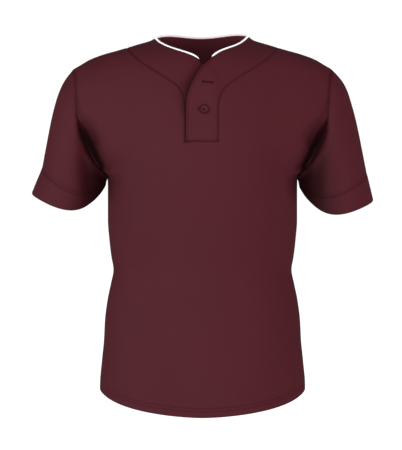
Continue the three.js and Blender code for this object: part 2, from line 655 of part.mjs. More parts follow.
function backGrid() {
  const top = backTopPlaces();
  const columns = top.length - 1;
  const bottomTurns = steps(columns).map((u) => lerp(-Math.PI / 2, Math.PI / 2, u));
  const places = bottomTurns.map((turn) => Math.sign(turn) * sideReach(Math.abs(Math.sin(turn)), UNDERARM));
  const [left, right] = sleeves.map((sleeve) => armholeEdge(sleeve, true));
  const flat = (edge) => edge.map((p) => [p.outer.x, p.outer.z]);
  const bottom = places.map((x) => [x, underarmLine(x)]);
  const upper = heightShare.map((v, j) => steps(columns).map((u, i) => {
    if (i === 0) return right[j];
    if (i === columns) return left[j];
    const [x, z] = between(bottom, top, flat(right), flat(left), i, j, u, v);
    return clothAt(x, z, true);
  }));
  const lower = lowerRows(places, true);
  const underarm = lower[lower.length - 1];
  [underarm[0], underarm[columns]] = [right[0], left[0]];
  return [...lower, ...upper.slice(1)];
}

// Neck yokes

// How far the top placket stands off the body, over the under placket and over its hidden button.
function topPlacketLift(x, z) {
  const edge = underPlacketEdge(z);
  const past = smooth(x, edge + PLACKET_STEP.start, edge + PLACKET_STEP.end);
  const cover = (WALL + PLACKET_CLEARANCE) * (1 - past);
  const { height, reach, edge: roomEdge, fade } = BUTTON_ROOM;
  const near = Math.exp(-(((z - TOP_BUTTON.z) / reach) ** 2));
  const room = height * near * (1 - smooth(x, roomEdge, roomEdge + fade));
  return cover + room;
}

// A yoke's edge at the opening: the placket's edge up to the neck, then the neckline to the shoulder.
function openingPlaces(hand, plackets, neckline, neckHeight) {
  const tip = neckline[0];
  const shoulder = neckline[neckline.length - 1].x;
  return steps(ROWS_ABOVE).map((_, j) => {
    if (j <= NECK_ROW) {
      const z = lerp(PLACKET_BOTTOM, tip.z, Math.sin((Math.PI / 2) * (j / NECK_ROW)) ** TIP_CROWDING);
      return [plackets(z), z];
    }
    const share = (j - NECK_ROW) / (ROWS_ABOVE - NECK_ROW);
    const across = lerp(tip.x, shoulder, Math.sin((Math.PI / 2) * share));
    return [hand * (j === ROWS_ABOVE ? halfWidth(neckHeight(shoulder)) : across), neckHeight(across)];
  });
}

function yokeGrid(hand, opening, lift) {
  const seam = yokeSeamPlaces(hand);
  const [low, high] = [opening[0], opening[ROWS_ABOVE]];
  const bottom = steps(YOKE_COLUMNS).map((u) => [lerp(low[0], seam[0][0], u), PLACKET_BOTTOM]);
  const top = steps(YOKE_COLUMNS).map((u) => {
    const z = lerp(high[1], YOKE_TOP, u);
    return [hand * halfWidth(z), z];
  });
  return heightShare.map((v, j) => steps(YOKE_COLUMNS).map((u, i) => {
    const [x, z] = between(bottom, top, opening, seam, i, j, u, v);
    return clothAt(x, z, false, lift(x, z));
  }));
}

const leftOpening = openingPlaces(1, topPlacketEdge, LEFT_NECKLINE, leftNeckHeight);
const rightOpening = openingPlaces(-1, underPlacketEdge, RIGHT_NECKLINE, rightNeckHeight);
const leftYokeGrid = yokeGrid(1, leftOpening, topPlacketLift);
const rightYokeGrid = yokeGrid(-1, rightOpening, () => 0);
const backPanelGrid = backGrid();

// Neck piping

// Places along the neckline with the way out of the cloth's edge and the way out of its face.
function necklineStations() {
  const neckRows = (grid) => steps(ROWS_ABOVE).map((_, j) => j).slice(NECK_ROW).map((j) => ({
    edge: grid[j][0].outer, inside: grid[j][0].inner, next: grid[j][1].outer,
  }));
  const last = backPanelGrid.length - 1;
  const backRow = backPanelGrid[last].map((p, i) => ({
    edge: p.outer, inside: p.inner, next: backPanelGrid[last - 1][i].outer,
  }));
  const back = backRow.slice(BACK_SHOULDER_COLUMNS, BACK_SHOULDER_COLUMNS + BACK_NECK_COLUMNS + 1);
  const rightFront = neckRows(rightYokeGrid);
  const leftFront = neckRows(leftYokeGrid).reverse();
  return [...rightFront.slice(0, -1), ...back, ...leftFront.slice(1)];
}

function pipingShape() {
  const stations = necklineStations();
  const middles = stations.map(({ edge, inside }) => edge.clone().add(inside).divideScalar(2));
  const runs = middles.map((_, k) => (
    middles[Math.min(k + 1, middles.length - 1)].clone().sub(middles[Math.max(k - 1, 0)]).normalize()
  ));
  const away = (way, k) => way.addScaledVector(runs[k], -way.dot(runs[k])).normalize();
  let ups = stations.map(({ edge, next }, k) => away(edge.clone().sub(next), k));
  for (let pass = 0; pass < PIPING_EVENINGS; pass += 1) {
    ups = ups.map((up, k) => {
      const before = ups[Math.max(k - 1, 0)];
      const after = ups[Math.min(k + 1, ups.length - 1)];
      return away(up.clone().multiplyScalar(2).add(before).add(after), k);
    });
  }
  const sides = PIPING_SIDES;
  const points = [];
  middles.forEach((middle, k) => {
    const centre = middle.clone().addScaledVector(ups[k], PIPING.half + SEAM_GAP);
    const across = runs[k].clone().cross(ups[k]);
    for (let i = 0; i < sides; i += 1) {
      const angle = (2 * Math.PI * i) / sides;
      const point = centre.clone().addScaledVector(ups[k], PIPING.half * Math.cos(angle));
      points.push(point.addScaledVector(across, PIPING.thick * Math.sin(angle)));
    }
  });
  const triangles = [];
  for (let k = 0; k < middles.length - 1; k += 1) {
    for (let i = 0; i < sides; i += 1) {
      const [a, b] = [k * sides + i, k * sides + ((i + 1) % sides)];
      triangles.push([a, b, b + sides], [a, b + sides, a + sides]);
    }
  }
  const end = points.length - sides;
  for (let i = 1; i < sides - 1; i += 1) {
    triangles.push([0, i + 1, i], [end, end + i, end + i + 1]);
  }
  return meshShape(points, triangles);
}

// Buttons

function buttonShape() {
  const profile = BUTTON_PROFILE.map((row) => new THREE.Vector2(BUTTON_RADIUS - row.in, row.height));
  return new THREE.LatheGeometry(profile, BUTTON_SIDES);
}

// Turns a button from its own axis, +Y, to the way out of the cloth and sets it just clear of the cloth.
function seatButton(mesh, place, lift) {
  const reach = BUTTON_RADIUS;
  const under = (dx, dz) => {
    const [x, z] = [place.x + dx, place.z + dz];
    return clothAt(x, z, false, lift(x, z)).outer;
  };
  const rim = [under(reach, 0), under(0, reach), under(-reach, 0), under(0, -reach)];
  const out = rim[0].clone().sub(rim[2]).cross(rim[1].clone().sub(rim[3])).normalize();
  const highest = Math.max(...[...rim, under(0, 0)].map((point) => point.dot(out)));
  const seat = under(0, 0);
  seat.addScaledVector(out, highest - seat.dot(out) + SEAM_GAP);
  mesh.quaternion.setFromUnitVectors(vec(0, 1, 0), out);
  mesh.position.copy(seat);
}

const jersey = new THREE.Group();
jersey.name = 'baseball_jersey';

function addPiece(name, shape, material) {
  const mesh = new THREE.Mesh(shape, material);
  mesh.name = name;
  jersey.add(mesh);
  return mesh;
}

addPiece('front_panel', frontWall(), MAROON);
addPiece('back_panel', wallFromGrid(backPanelGrid.map((row) => [...row].reverse())), MAROON);
addPiece('neck_yoke_left_top_placket', wallFromGrid(leftYokeGrid), MAROON);
const rightYokeFromSide = rightYokeGrid.map((row) => [...row].reverse());
addPiece('neck_yoke_right_under_placket', wallFromGrid(rightYokeFromSide), MAROON);
for (const sleeve of sleeves) {
  const hem = sleeve.points.length - 1;
  const cloth = sleeveWall(sleeve, 0, CUFF_SEAM_RING, 0, WALL);
  const band = sleeveWall(sleeve, CUFF_SEAM_RING, hem, CUFF_PROUD, HEM_WALL);
  addPiece(`sleeve_${sleeve.name}`, cloth, MAROON);
  addPiece(`sleeve_band_${sleeve.name}`, band, MAROON);
}
addPiece('neck_piping', pipingShape(), WHITE);
seatButton(addPiece('button_lower', buttonShape(), BUTTON_RED), LOWER_BUTTON, topPlacketLift);
seatButton(addPiece('button_top_unfastened', buttonShape(), BUTTON_RED), TOP_BUTTON, () => 0);

export default jersey;
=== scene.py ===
# %% [markdown]
# A two-button baseball jersey, filled out as on a wearer, with nobody in it. The real one is cut from a
# smooth maroon knit: a front, a back, two neck yokes that run down into a placket, two sleeves with bands,
# and a white piping round the neck. This lesson makes each cut piece as a thin curved shell on the same
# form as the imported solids, and then adds what a sewer adds: turned edges, seams, stitches, buttonholes.

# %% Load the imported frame
import math

import bpy
import numpy as np
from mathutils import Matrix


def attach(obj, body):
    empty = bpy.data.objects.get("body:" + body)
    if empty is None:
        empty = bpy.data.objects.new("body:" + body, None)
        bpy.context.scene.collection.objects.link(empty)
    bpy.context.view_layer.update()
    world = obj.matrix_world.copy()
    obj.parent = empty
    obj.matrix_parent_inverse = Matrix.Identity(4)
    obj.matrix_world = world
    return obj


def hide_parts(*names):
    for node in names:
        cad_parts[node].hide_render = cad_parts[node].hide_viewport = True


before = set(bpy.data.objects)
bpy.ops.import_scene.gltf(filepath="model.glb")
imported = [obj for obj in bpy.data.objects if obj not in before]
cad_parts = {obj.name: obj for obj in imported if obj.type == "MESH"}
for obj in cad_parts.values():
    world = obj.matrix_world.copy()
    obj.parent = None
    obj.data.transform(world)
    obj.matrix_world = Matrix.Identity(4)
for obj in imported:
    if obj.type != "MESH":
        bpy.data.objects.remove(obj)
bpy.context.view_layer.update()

# %% [markdown]
# The camera comes first, because the form is judged through it. The jersey was shot straight on with a
# long lens, so its sides hardly narrow. The aim is a little below the chest, at the middle of the length.

# %% Place the camera
CAMERA_PLACE = (-0.003, -3.5, -0.372)
CAMERA_LENS = 140.0
SENSOR_WIDTH = 36.0


def add_object(name, data):
    made = bpy.data.objects.new(name, data)
    bpy.context.scene.collection.objects.link(made)
    return made


camera_data = bpy.data.cameras.new("camera")
camera_data.lens = CAMERA_LENS
camera_data.sensor_width = SENSOR_WIDTH
camera_data.clip_end = 120.0
camera = add_object("camera", camera_data)
camera.location = CAMERA_PLACE
camera.rotation_euler = (math.pi / 2, 0, 0)
bpy.context.scene.camera = camera
print("camera sees", round(SENSOR_WIDTH / CAMERA_LENS * -CAMERA_PLACE[1], 3), "m at the jersey")

# %% [markdown]
# A cutter works in millimetres, so every table below is in millimetres and is turned to metres only when a
# mesh is made. Each table has named columns, and a smooth curve is drawn through two of them. The curve
# never overshoots its rows, and a short running average rounds what would show as a line in the shading.

# %% Read tables and draw curves through them
MM = 0.001


def table(names, *rows):
    return dict(zip(names.split(), np.array(rows, float).T))


def curve_through(at, values, soften=0.0):
    order = np.argsort(at)
    at, values = np.asarray(at, float)[order], np.asarray(values, float)[order]
    rise = np.diff(values) / np.diff(at)
    slope = np.concatenate([rise[:1], np.zeros(len(at) - 2), rise[-1:]])
    before, after = rise[:-1], rise[1:]
    same_way = before * after > 0
    total = np.where(same_way, before + after, 1.0)
    slope[1:-1] = np.where(same_way, 2 * before * after / total, 0.0)

    def plain(x):
        i = np.clip(np.searchsorted(at, x, side="right") - 1, 0, len(at) - 2)
        span = at[i + 1] - at[i]
        t = np.clip((x - at[i]) / span, 0, 1)
        low = (1 + 2 * t) * (1 - t) ** 2 * values[i] + t * (1 - t) ** 2 * span * slope[i]
        high = t**2 * (3 - 2 * t) * values[i + 1] + t**2 * (t - 1) * span * slope[i + 1]
        past = np.minimum(x - at[0], 0) * slope[0] + np.maximum(x - at[-1], 0) * slope[-1]
        return low + high + past

    if not soften:
        return lambda x: plain(np.asarray(x, float))
    fine = np.arange(at[0] - 4 * soften, at[-1] + 4 * soften, soften / 12)
    weights = np.exp(-(np.linspace(-3, 3, 73) ** 2) / 2)
    padded = plain(np.concatenate([fine[0] - soften / 12 * np.arange(36, 0, -1), fine,
                                   fine[-1] + soften / 12 * np.arange(1, 37)]))
    softened = np.convolve(padded, weights / weights.sum(), mode="valid")
    return lambda x: np.interp(np.asarray(x, float), fine, softened)


def smooth(x, low, high):
    t = np.clip((x - low) / (high - low), 0, 1)
    return t * t * (3 - 2 * t)


def lerp(low, high, share):
    return low + (high - low) * share


def bell(away, width):
    return np.exp(-((away / width) ** 2))


def length_along(line):
    """How far along a line each of its points is."""
    return np.concatenate([[0], np.cumsum(np.linalg.norm(np.diff(line, axis=0), axis=1))])


print("a curve through 0, 1, 4 at 2.5:", float(curve_through([0, 1, 2, 3], [0, 1, 4, 9])(2.5)))

# %% [markdown]
# The body is a tube of level sections. Half is the half width at the sides, and chest is the half width
# that the front and back are shaped on, which is less where the sides flare out to the sleeves. Front and
# back are depths from the shoulder line. Point is how pointed the sides are: 1 is an ellipse.

# %% Describe the body
BODY = table(
    "z half chest front back point",
    (-760, 205, 205, 122, 118, 0.87),
    (-692, 205, 205, 121, 117, 0.87),
    (-642, 201, 201, 118, 114, 0.87),
    (-602, 197, 197, 116, 110, 0.87),
    (-562, 195, 195, 113, 106, 0.88),
    (-522, 190, 190, 111, 102, 0.9),
    (-488, 183, 183, 110, 99, 0.92),
    (-461, 178, 178, 110, 98, 0.93),
    (-436, 182, 182, 112, 99, 0.92),
    (-402, 186, 186, 116, 102, 0.9),
    (-362, 189, 189, 120, 107, 0.88),
    (-312, 189, 189, 126, 114, 0.87),
    (-300, 189, 189, 127, 116, 0.87),
    (-284, 189.3, 189.3, 128, 117.5, 0.87),
    (-278, 190, 189.4, 128.3, 118, 0.87),
    (-272, 191.7, 189.6, 128.5, 118.5, 0.87),
    (-266, 201, 190, 128.8, 119, 0.87),
    (-260, 210, 190.4, 129, 119.3, 0.87),
    (-250, 220, 191.5, 129.3, 120, 0.87),
    (-240, 228, 193, 129, 121, 0.88),
    (-222, 240, 198, 127.5, 122, 0.89),
    (-210, 248, 202, 127, 122, 0.9),
    (-190, 259, 209, 125, 121.5, 0.92),
    (-165, 272, 220, 121, 120, 0.96),
    (-130, 284, 238, 115, 117, 1.06),
    (-100, 283, 250, 108, 113, 1.18),
    (-78, 272, 254, 101, 109, 1.29),
    (-62, 259, 249, 94.5, 105, 1.38),
    (-52, 243, 238, 89.5, 102, 1.42),
    (-42, 226, 224, 82.5, 98.5, 1.43),
    (-32, 200, 200, 74, 94, 1.42),
    (-22, 165, 165, 62, 88, 1.35),
    (-12, 132, 132, 46, 81, 1.24),
    (-2, 101, 101, 30, 74, 1.1),
    (5, 93.5, 93.5, 24, 69, 1),
    (14, 91, 91, 20, 64, 1),
)
ARMHOLE = table(
    "z side",
    (-272, 191.7), (-266, 198.5), (-255, 208.5), (-242, 217.5), (-220, 227.5), (-205, 234), (-190, 240),
    (-175, 244.5), (-150, 247.5), (-120, 249), (-90, 251.5), (-78, 253), (-68, 256), (-62, 259),
)
ARMPIT = dict(depth=52.0, width=19.0, top=-160.0, full_below=-210.0, full_above=-250.0, bottom=-272.0)
FLARE_START, LOW_FLARE_START, FLARE_FULL = 0.6, 0.82, 0.95
FLARE_HEIGHTS = (-272.0, -215.0)
ROUNDED_RIDGE, RIDGE_POINTS = 0.07, (0.98, 1.1)
FLAT_FRONT, FLAT_FRONT_POINTS = 0.9, (0.9, 1.2)
HALVINGS = 40

half_width = curve_through(BODY["z"], BODY["half"])
chest_half = curve_through(BODY["z"], BODY["chest"], soften=5)
front_depth = curve_through(BODY["z"], BODY["front"], soften=6)
back_depth = curve_through(BODY["z"], BODY["back"], soften=6)
pointedness = curve_through(BODY["z"], BODY["point"], soften=8)
armhole_side = curve_through(ARMHOLE["z"], ARMHOLE["side"], soften=2)


def armpit_depth(x, z):
    """How far the front goes back towards the armhole, at the fold between the chest and the arm."""
    from_top = smooth(z, ARMPIT["top"], ARMPIT["full_below"])
    swell = from_top * smooth(z, ARMPIT["bottom"], ARMPIT["full_above"])
    inward = np.maximum(armhole_side(z) - np.abs(x), 0)
    return ARMPIT["depth"] * swell * bell(inward, ARMPIT["width"])


def flatness(z):
    return lerp(FLAT_FRONT, 1.0, smooth(pointedness(z), *FLAT_FRONT_POINTS))


def side_reach(share, z):
    """Half the width at a share of the way round to the side. A ridge at the middle is rounded off."""
    point = pointedness(z)
    ridge = ROUNDED_RIDGE * smooth(point, *RIDGE_POINTS)
    inner = ridge ** (2 / point)
    reach = (share**2 + inner) ** point - ridge**2
    full = (1 + inner) ** point - ridge**2
    start = lerp(LOW_FLARE_START, FLARE_START, smooth(z, *FLARE_HEIGHTS))
    flare = (half_width(z) - chest_half(z)) * smooth(share, start, FLARE_FULL)
    return (chest_half(z) + flare) * np.sqrt(np.maximum(reach, 0) / full)


def turn_at(x, z, behind):
    """The turn round the body of a place in the front or back view, found by halving."""
    x, z = np.broadcast_arrays(np.asarray(x, float), np.asarray(z, float))
    low, high = np.zeros(x.shape), np.ones(x.shape)
    for _ in range(HALVINGS):
        share = (low + high) / 2
        short = side_reach(share, z) < np.abs(x)
        low, high = np.where(short, share, low), np.where(short, high, share)
    turn = np.arcsin(high)
    return np.where(x < 0, -1, 1) * np.where(behind, np.pi - turn, turn)


print("chest half width:", float(side_reach(1.0, -300.0)), "mm")

# %% [markdown]
# Worn knit is never smooth. The largest folds run in from the armpits and down from the waist, and each is a
# soft trough, deepest in its middle. A few shallow ridges and creases go between them, so that no side of the
# body is bare. They are listed one by one, because a simulation of a whole jersey would lose its fit.

# %% Place the folds of the body
FRONT_FOLDS = table(
    "x0 z0 x1 z1 width depth",
    (-176, -298, -158, -400, 14, 2.6),
    (150, -330, 186, -440, 15, 4.5),
    (128, -384, 184, -520, 18, 4.5),
    (-186, -450, -140, -580, 20, 3),
    (30, -430, 80, -640, 34, 2.2),
    (-190, -240, -150, -330, 12, 1.8),
    (118, -352, 150, -455, 13, -1.8),
    (-120, -470, -96, -640, 26, 1.4),
)
BACK_FOLDS = table(
    "x0 z0 x1 z1 width depth",
    (-200, -250, -70, -292, 16, 4),
    (200, -256, 84, -304, 16, 3.4),
    (-182, -420, -90, -474, 18, 4.5),
    (182, -414, 60, -462, 17, 4),
    (-176, -500, -118, -640, 22, 3.6),
    (172, -486, 126, -606, 20, 4),
    (-150, -110, -196, -190, 16, 3.2),
    (150, -118, 194, -186, 17, 3),
    (-40, -330, 10, -470, 26, 2.0),
    (70, -500, 40, -690, 24, 2.2),
    (-60, -520, -40, -700, 28, 1.8),
    (-130, -452, -20, -508, 15, -1.6),
)
FOLD_END = 0.12
FOLD_SIDE_FADE = 0.35
TURN_STEP, HEIGHT_STEP = 0.004, 1


def fold_depth(folds, x, z):
    depth = np.zeros(np.broadcast(x, z).shape)
    for x0, z0, x1, z1, width, deep in zip(*folds.values()):
        run_x, run_z = x1 - x0, z1 - z0
        along = np.clip(((x - x0) * run_x + (z - z0) * run_z) / (run_x**2 + run_z**2), 0, 1)
        away = np.hypot(x - x0 - along * run_x, z - z0 - along * run_z)
        depth += deep * np.sin(np.pi * lerp(FOLD_END, 1 - FOLD_END, along)) * bell(away, width)
    return depth


def body_point(turn, z):
    """A point of the body's outer face. The turn is 0 at the middle of the front, and goes to the left."""
    turn, z = np.broadcast_arrays(np.asarray(turn, float), np.asarray(z, float))
    sideways, forward = np.sin(turn), np.cos(turn)
    x = np.sign(sideways) * side_reach(np.abs(sideways), z)
    deep = np.abs(forward) ** flatness(z)
    ease = smooth(np.abs(forward), 0, FOLD_SIDE_FADE)
    front = -front_depth(z) * deep + ease * fold_depth(FRONT_FOLDS, x, z) + armpit_depth(x, z)
    front = np.minimum(front, 0)
    back = back_depth(z) * deep - ease * fold_depth(BACK_FOLDS, x, z)
    return np.stack([x, np.where(forward > 0, front, back), z], -1)


def unit(v):
    return v / np.maximum(np.linalg.norm(v, axis=-1, keepdims=True), 1e-9)


def body_normal(turn, z):
    around = body_point(turn + TURN_STEP, z) - body_point(turn - TURN_STEP, z)
    upward = body_point(turn, z + HEIGHT_STEP) - body_point(turn, z - HEIGHT_STEP)
    return unit(np.cross(around, upward))


def cloth_at(x, z, behind=False, lift=0.0):
    turn = turn_at(x, z, behind)
    normal = body_normal(turn, z)
    return body_point(turn, z) + normal * np.asarray(lift)[..., None], normal


print("deepest front fold:", FRONT_FOLDS["depth"].max(), "mm")

# %% [markdown]
# A cut piece is a grid of points. Near a seam the rows must be close together, because the cloth rolls
# into the seam within a few millimetres, and further off they can be wide apart. So the spacing grows
# from each end, and a piece inside four curved edges is blended between them.

# %% Space the rows and blend between four edges
def spaced(length, fine=0.9, coarse=5.0, growth=1.35):
    cells = [fine]
    while cells[-1] * growth < coarse:
        cells.append(cells[-1] * growth)
    middle = max(1, round((length - 2 * sum(cells)) / coarse))
    sizes = np.array(cells + [coarse] * middle + cells[::-1])
    return np.concatenate([[0], np.cumsum(sizes)]) / sizes.sum()


def rounded(count):
    return (1 - np.cos(np.pi * np.linspace(0, 1, count + 1))) / 2


def between(bottom, top, start, end, u, v):
    """Places inside four edges. bottom and top have a place for each u, start and end one for each v."""
    u, v = u[None, :, None], v[:, None, None]
    rows = lerp(bottom[None], top[None], v)
    columns = lerp(start[:, None], end[:, None], u)
    low = lerp(bottom[0], bottom[-1], u)
    high = lerp(start[-1], end[-1], u)
    return rows + columns - lerp(low, high, v)


print("cells across 200 mm of cloth:", len(spaced(200)) - 1)

# %% [markdown]
# The seams are the jersey's skeleton: each is one curve that two pieces share. The tables give them in the
# front view, because that is how a maker draws them, and the body's form gives the depth.

# %% Lay out the seams
ARMHOLE_TOP, UNDERARM = -62.0, -272.0
PLACKET_BOTTOM, YOKE_TOP = -210.0, -18.0
PLACKET_MIDDLE = -1.3
NOTCH_SIDE = 40.0
HEM_SIDE, HEM_CENTRE = -697.0, -745.0
HEM_POWER, HEM_WAVE = 1.42, 0.08

YOKE_SEAM = table(
    "z half",
    (-210, 32), (-142, 32.3), (-126, 34.8), (-110.5, 41.5), (-97, 53.8),
    (-77.6, 82.7), (-52.5, 120), (-34, 140.5), (-18, 151.5),
)
LEFT_NECKLINE = table(
    "x z",
    (18, -45.3), (26.8, -37.2), (35.3, -31.2), (47.4, -25.4), (63.8, -18.6), (76.6, -11.4), (86.4, -2.8),
    (93.8, 4.5),
)
RIGHT_NECKLINE = table(
    "x z",
    (4.5, -54), (7.5, -49), (13.7, -43.2), (22.6, -38.2), (34.8, -33.2), (52.5, -26.7), (70.6, -18.9),
    (86.6, -9), (95.5, 1),
)
TOP_PLACKET_EDGE = table(
    "z x",
    (-210, -31.4), (-149, -30.9), (-127.3, -29.6), (-109.7, -25.1), (-93.6, -18), (-77.5, -9.5),
    (-61.2, 1), (-52.1, 11), (-45.3, 18),
)
UNDER_PLACKET_EDGE = table(
    "z x",
    (-210, 21), (-135, 21), (-115, 22.5), (-96, 24), (-82, 21), (-70, 12), (-61, 3), (-54, -4.5),
)
BACK_NECK_RISE, BACK_NECK_ROUNDNESS, BACK_NECK_SWELL = 4.5, 0.5, 4.0

yoke_half = curve_through(YOKE_SEAM["z"], YOKE_SEAM["half"], soften=2.5)
left_neck_height = curve_through(LEFT_NECKLINE["x"], LEFT_NECKLINE["z"], soften=1.5)
right_neck_height = curve_through(RIGHT_NECKLINE["x"], RIGHT_NECKLINE["z"], soften=1.5)
top_placket_edge = curve_through(TOP_PLACKET_EDGE["z"], TOP_PLACKET_EDGE["x"], soften=2.5)
under_placket_edge = curve_through(UNDER_PLACKET_EDGE["z"], UNDER_PLACKET_EDGE["x"], soften=2.5)


def hem_height(turn):
    """The hem's height at a turn. It is lowest at the middle and sweeps up to the side seams."""
    from_middle = np.arcsin(np.abs(np.sin(turn))) / (np.pi / 2)
    share = from_middle**HEM_POWER + HEM_WAVE * np.sin(np.pi * from_middle**3)
    return lerp(HEM_CENTRE, HEM_SIDE, share)


def armhole_point(hand, angle):
    """A point of the armhole. The angle is 0 at the shoulder tip and half a turn at the underarm."""
    z = lerp(UNDERARM, ARMHOLE_TOP, (1 + np.cos(angle)) / 2)
    return body_point(turn_at(hand * armhole_side(z), z, np.sin(angle) < 0), z)


def yoke_seam_places(hand, v):
    z = lerp(PLACKET_BOTTOM, YOKE_TOP, v)
    return np.stack([PLACKET_MIDDLE * (1 - v) + hand * yoke_half(z), z], -1)


print("hem at the side seam:", float(hem_height(np.pi / 2)), "mm")

# %% [markdown]
# The top placket lies over the under placket, and farther out over the button that it hides. The under
# placket sinks a little below it, so that the hidden edge hardly shows. How far each stands off the body's
# form is one small function, used for the cloth, its stitches and the button that sits on it.

# %% Lift the top placket and sink the under placket
CLOTH = 1.3
TURNED_EDGE = 2.3
YOKE_CLOTH = 1.5
PLACKET_CLEARANCE = 0.6
PLACKET_SINK, PLACKET_SINK_REACH = 1.1, 20.0
PLACKET_STEP_START, PLACKET_STEP_END = 1.0, 14.0
BUTTON_ROOM, BUTTON_ROOM_REACH = 2.6, 36.0
BUTTON_ROOM_EDGE, BUTTON_ROOM_FADE = 19.5, 22.0
LOWER_BUTTON = (2.9, -148.5)
TOP_BUTTON = (10.0, -96.0)


def under_placket_lift(x, z):
    edge = top_placket_edge(z)
    return -PLACKET_SINK * smooth(x, edge, edge + PLACKET_SINK_REACH)


def top_placket_lift(x, z):
    edge = under_placket_edge(z)
    past = smooth(x, edge + PLACKET_STEP_START, edge + PLACKET_STEP_END)
    cover = (YOKE_CLOTH + PLACKET_CLEARANCE + under_placket_lift(x, z)) * (1 - past)
    near = bell(z - TOP_BUTTON[1], BUTTON_ROOM_REACH)
    room = BUTTON_ROOM * near * (1 - smooth(x, BUTTON_ROOM_EDGE, BUTTON_ROOM_EDGE + BUTTON_ROOM_FADE))
    return cover + room


print("top placket stands off", round(float(top_placket_lift(0.0, -150.0)), 2), "mm")

# %% [markdown]
# Where two pieces are sewn, both edges roll in towards the inside and leave a thin valley. A row of stitches
# presses a groove beside it. Both depend only on the distance to a line on the cloth, so one function
# measures that distance for a whole grid, and each piece lists the lines that it has. Two masks paint shade
# into the knit's colour. The seam mask is a redder painted shade beside seams, in stitch grooves and beside
# edges. The deep mask is a darker painted shade in the armpits' folds, on the sides and under the sleeves.
# Both masks also hold the top placket's painted shadow. At a height beside the armhole, the table says how
# strong the seam's own painted shade is, how far the deep one lies flat, over what reach it then fades, and
# how deep it is on the body and on the sleeve.

# %% Measure how far each point is from a line
SEAM_ROLL = 0.8
SEAM_ROLL_WIDTH = 1.7
# How strong and how wide the painted shade beside a seam is.
SEAM_PAINTED_SHADE, SEAM_SHADE_WIDTH = 0.75, 1.9
GROOVE = 0.4
GROOVE_WIDTH = 1.1
# How strong and how wide the painted shade in a stitch row's groove is.
STITCH_PAINTED_SHADE, GROOVE_SHADE_WIDTH = 0.3, 1.3
PUCKER_WAVES, PUCKER_SHARE, PUCKER_SHIFT = (2.9, 4.7), 0.6, 1.3
PUCKER_SLANT, PUCKER_REACH = 0.7, 7
# How far the painted shade beside the armhole seam reaches.
ARMHOLE_SHADE_REACH = 4.0
SHADE_AT_SEAM = 0.4
# Painted shade in the armpits' folds, by height.
ARMPIT_PAINTED_SHADES = table(
    "z seam flat reach body sleeve",
    (-275, 0.3, 0, 9, 0.5, 0.7),
    (-258, 0.2, 13, 12, 0.75, 0.35),
    (-242, 0.1, 31, 12, 0.8, 0.15),
    (-212, 0, 50, 13, 0.8, 0),
    (-196, 0, 38, 20, 0.55, 0),
    (-180, 0.1, 20, 30, 0.35, 0),
    (-152, 0.4, 8, 8, 0.32, 0),
    (-130, 0.7, 3, 5, 0.2, 0),
    (-105, 0.7, 0, 4, 0, 0),
)
# Painted shade on the body's sides under the sleeves, where they turn aside.
SIDE_PAINTED_SHADE, SIDE_SHADE_TURN, SIDE_SHADE_HEIGHTS = 0.64, (0.7, 0.98), (-350, -290)
POINTS_AT_ONCE = 4000


def distance_to(points, line):
    flat = points.reshape(-1, 3)
    start, run = line[:-1], np.diff(line, axis=0)
    length = np.maximum((run**2).sum(-1), 1e-9)
    nearest = np.empty(len(flat))
    for first in range(0, len(flat), POINTS_AT_ONCE):
        part = flat[first : first + POINTS_AT_ONCE, None] - start[None]
        along = np.clip((part * run[None]).sum(-1) / length, 0, 1)
        away = np.linalg.norm(part - along[..., None] * run[None], axis=-1)
        nearest[first : first + POINTS_AT_ONCE] = away.min(1)
    return nearest.reshape(points.shape[:-1])


STEPS = np.linspace(0, 1, 121)
HEM_STEPS = np.linspace(0, 1, 241)


def side_seam(hand):
    return body_point(hand * np.pi / 2, lerp(HEM_SIDE, UNDERARM, STEPS))


def shoulder_seam(hand):
    table_end = (LEFT_NECKLINE if hand > 0 else RIGHT_NECKLINE)["z"][-1]
    return body_point(hand * np.pi / 2, lerp(ARMHOLE_TOP, table_end, STEPS))


def armhole_seam(hand, behind):
    angle = np.pi * STEPS if not behind else np.pi * (1 + STEPS)
    return armhole_point(hand, angle)


def yoke_seam(hand):
    places = yoke_seam_places(hand, STEPS)
    return cloth_at(places[:, 0], places[:, 1])[0]


def placket_bottom():
    half = float(yoke_half(PLACKET_BOTTOM))
    return cloth_at(PLACKET_MIDDLE + lerp(-half, half, STEPS), PLACKET_BOTTOM)[0]


def at_heights(rows, points):
    """Every column of a table that goes by height, read at the heights of the points."""
    return {name: np.interp(points[..., 2], rows["z"], column) for name, column in rows.items()}


# The armhole seam's painted shade, whose strength goes by height.
def armhole_joins(points, lines):
    strength = at_heights(ARMPIT_PAINTED_SHADES, points)["seam"]
    return [(line, ARMHOLE_SHADE_REACH, strength) for line in lines]


def armhole_painted_shade(points, line, piece):
    """The deep painted shade beside an armhole. It grows over its flat part, then fades over its reach."""
    at_height = at_heights(ARMPIT_PAINTED_SHADES, points)
    away = distance_to(points, line)
    past = np.maximum(away - at_height["flat"], 0)
    near = lerp(SHADE_AT_SEAM, 1, np.clip(away / np.maximum(at_height["flat"], 1), 0, 1) ** 2)
    return at_height[piece] * near * bell(past, at_height["reach"])


def hem_edge(behind):
    turn = lerp(-np.pi / 2, np.pi / 2, HEM_STEPS)
    return body_point(np.pi - turn if behind else turn, hem_height(turn))


print("armhole seam:", round(np.linalg.norm(np.diff(armhole_seam(1, False), axis=0), axis=1).sum()), "mm")

# %% [markdown]
# A piece of cloth is an outer face and an inner one a fabric's thickness below it, joined by a rim, so it
# is a closed shell that looks right from inside the neck too. Its texture coordinates run in metres along
# the cloth, so the knit keeps its scale on every piece.

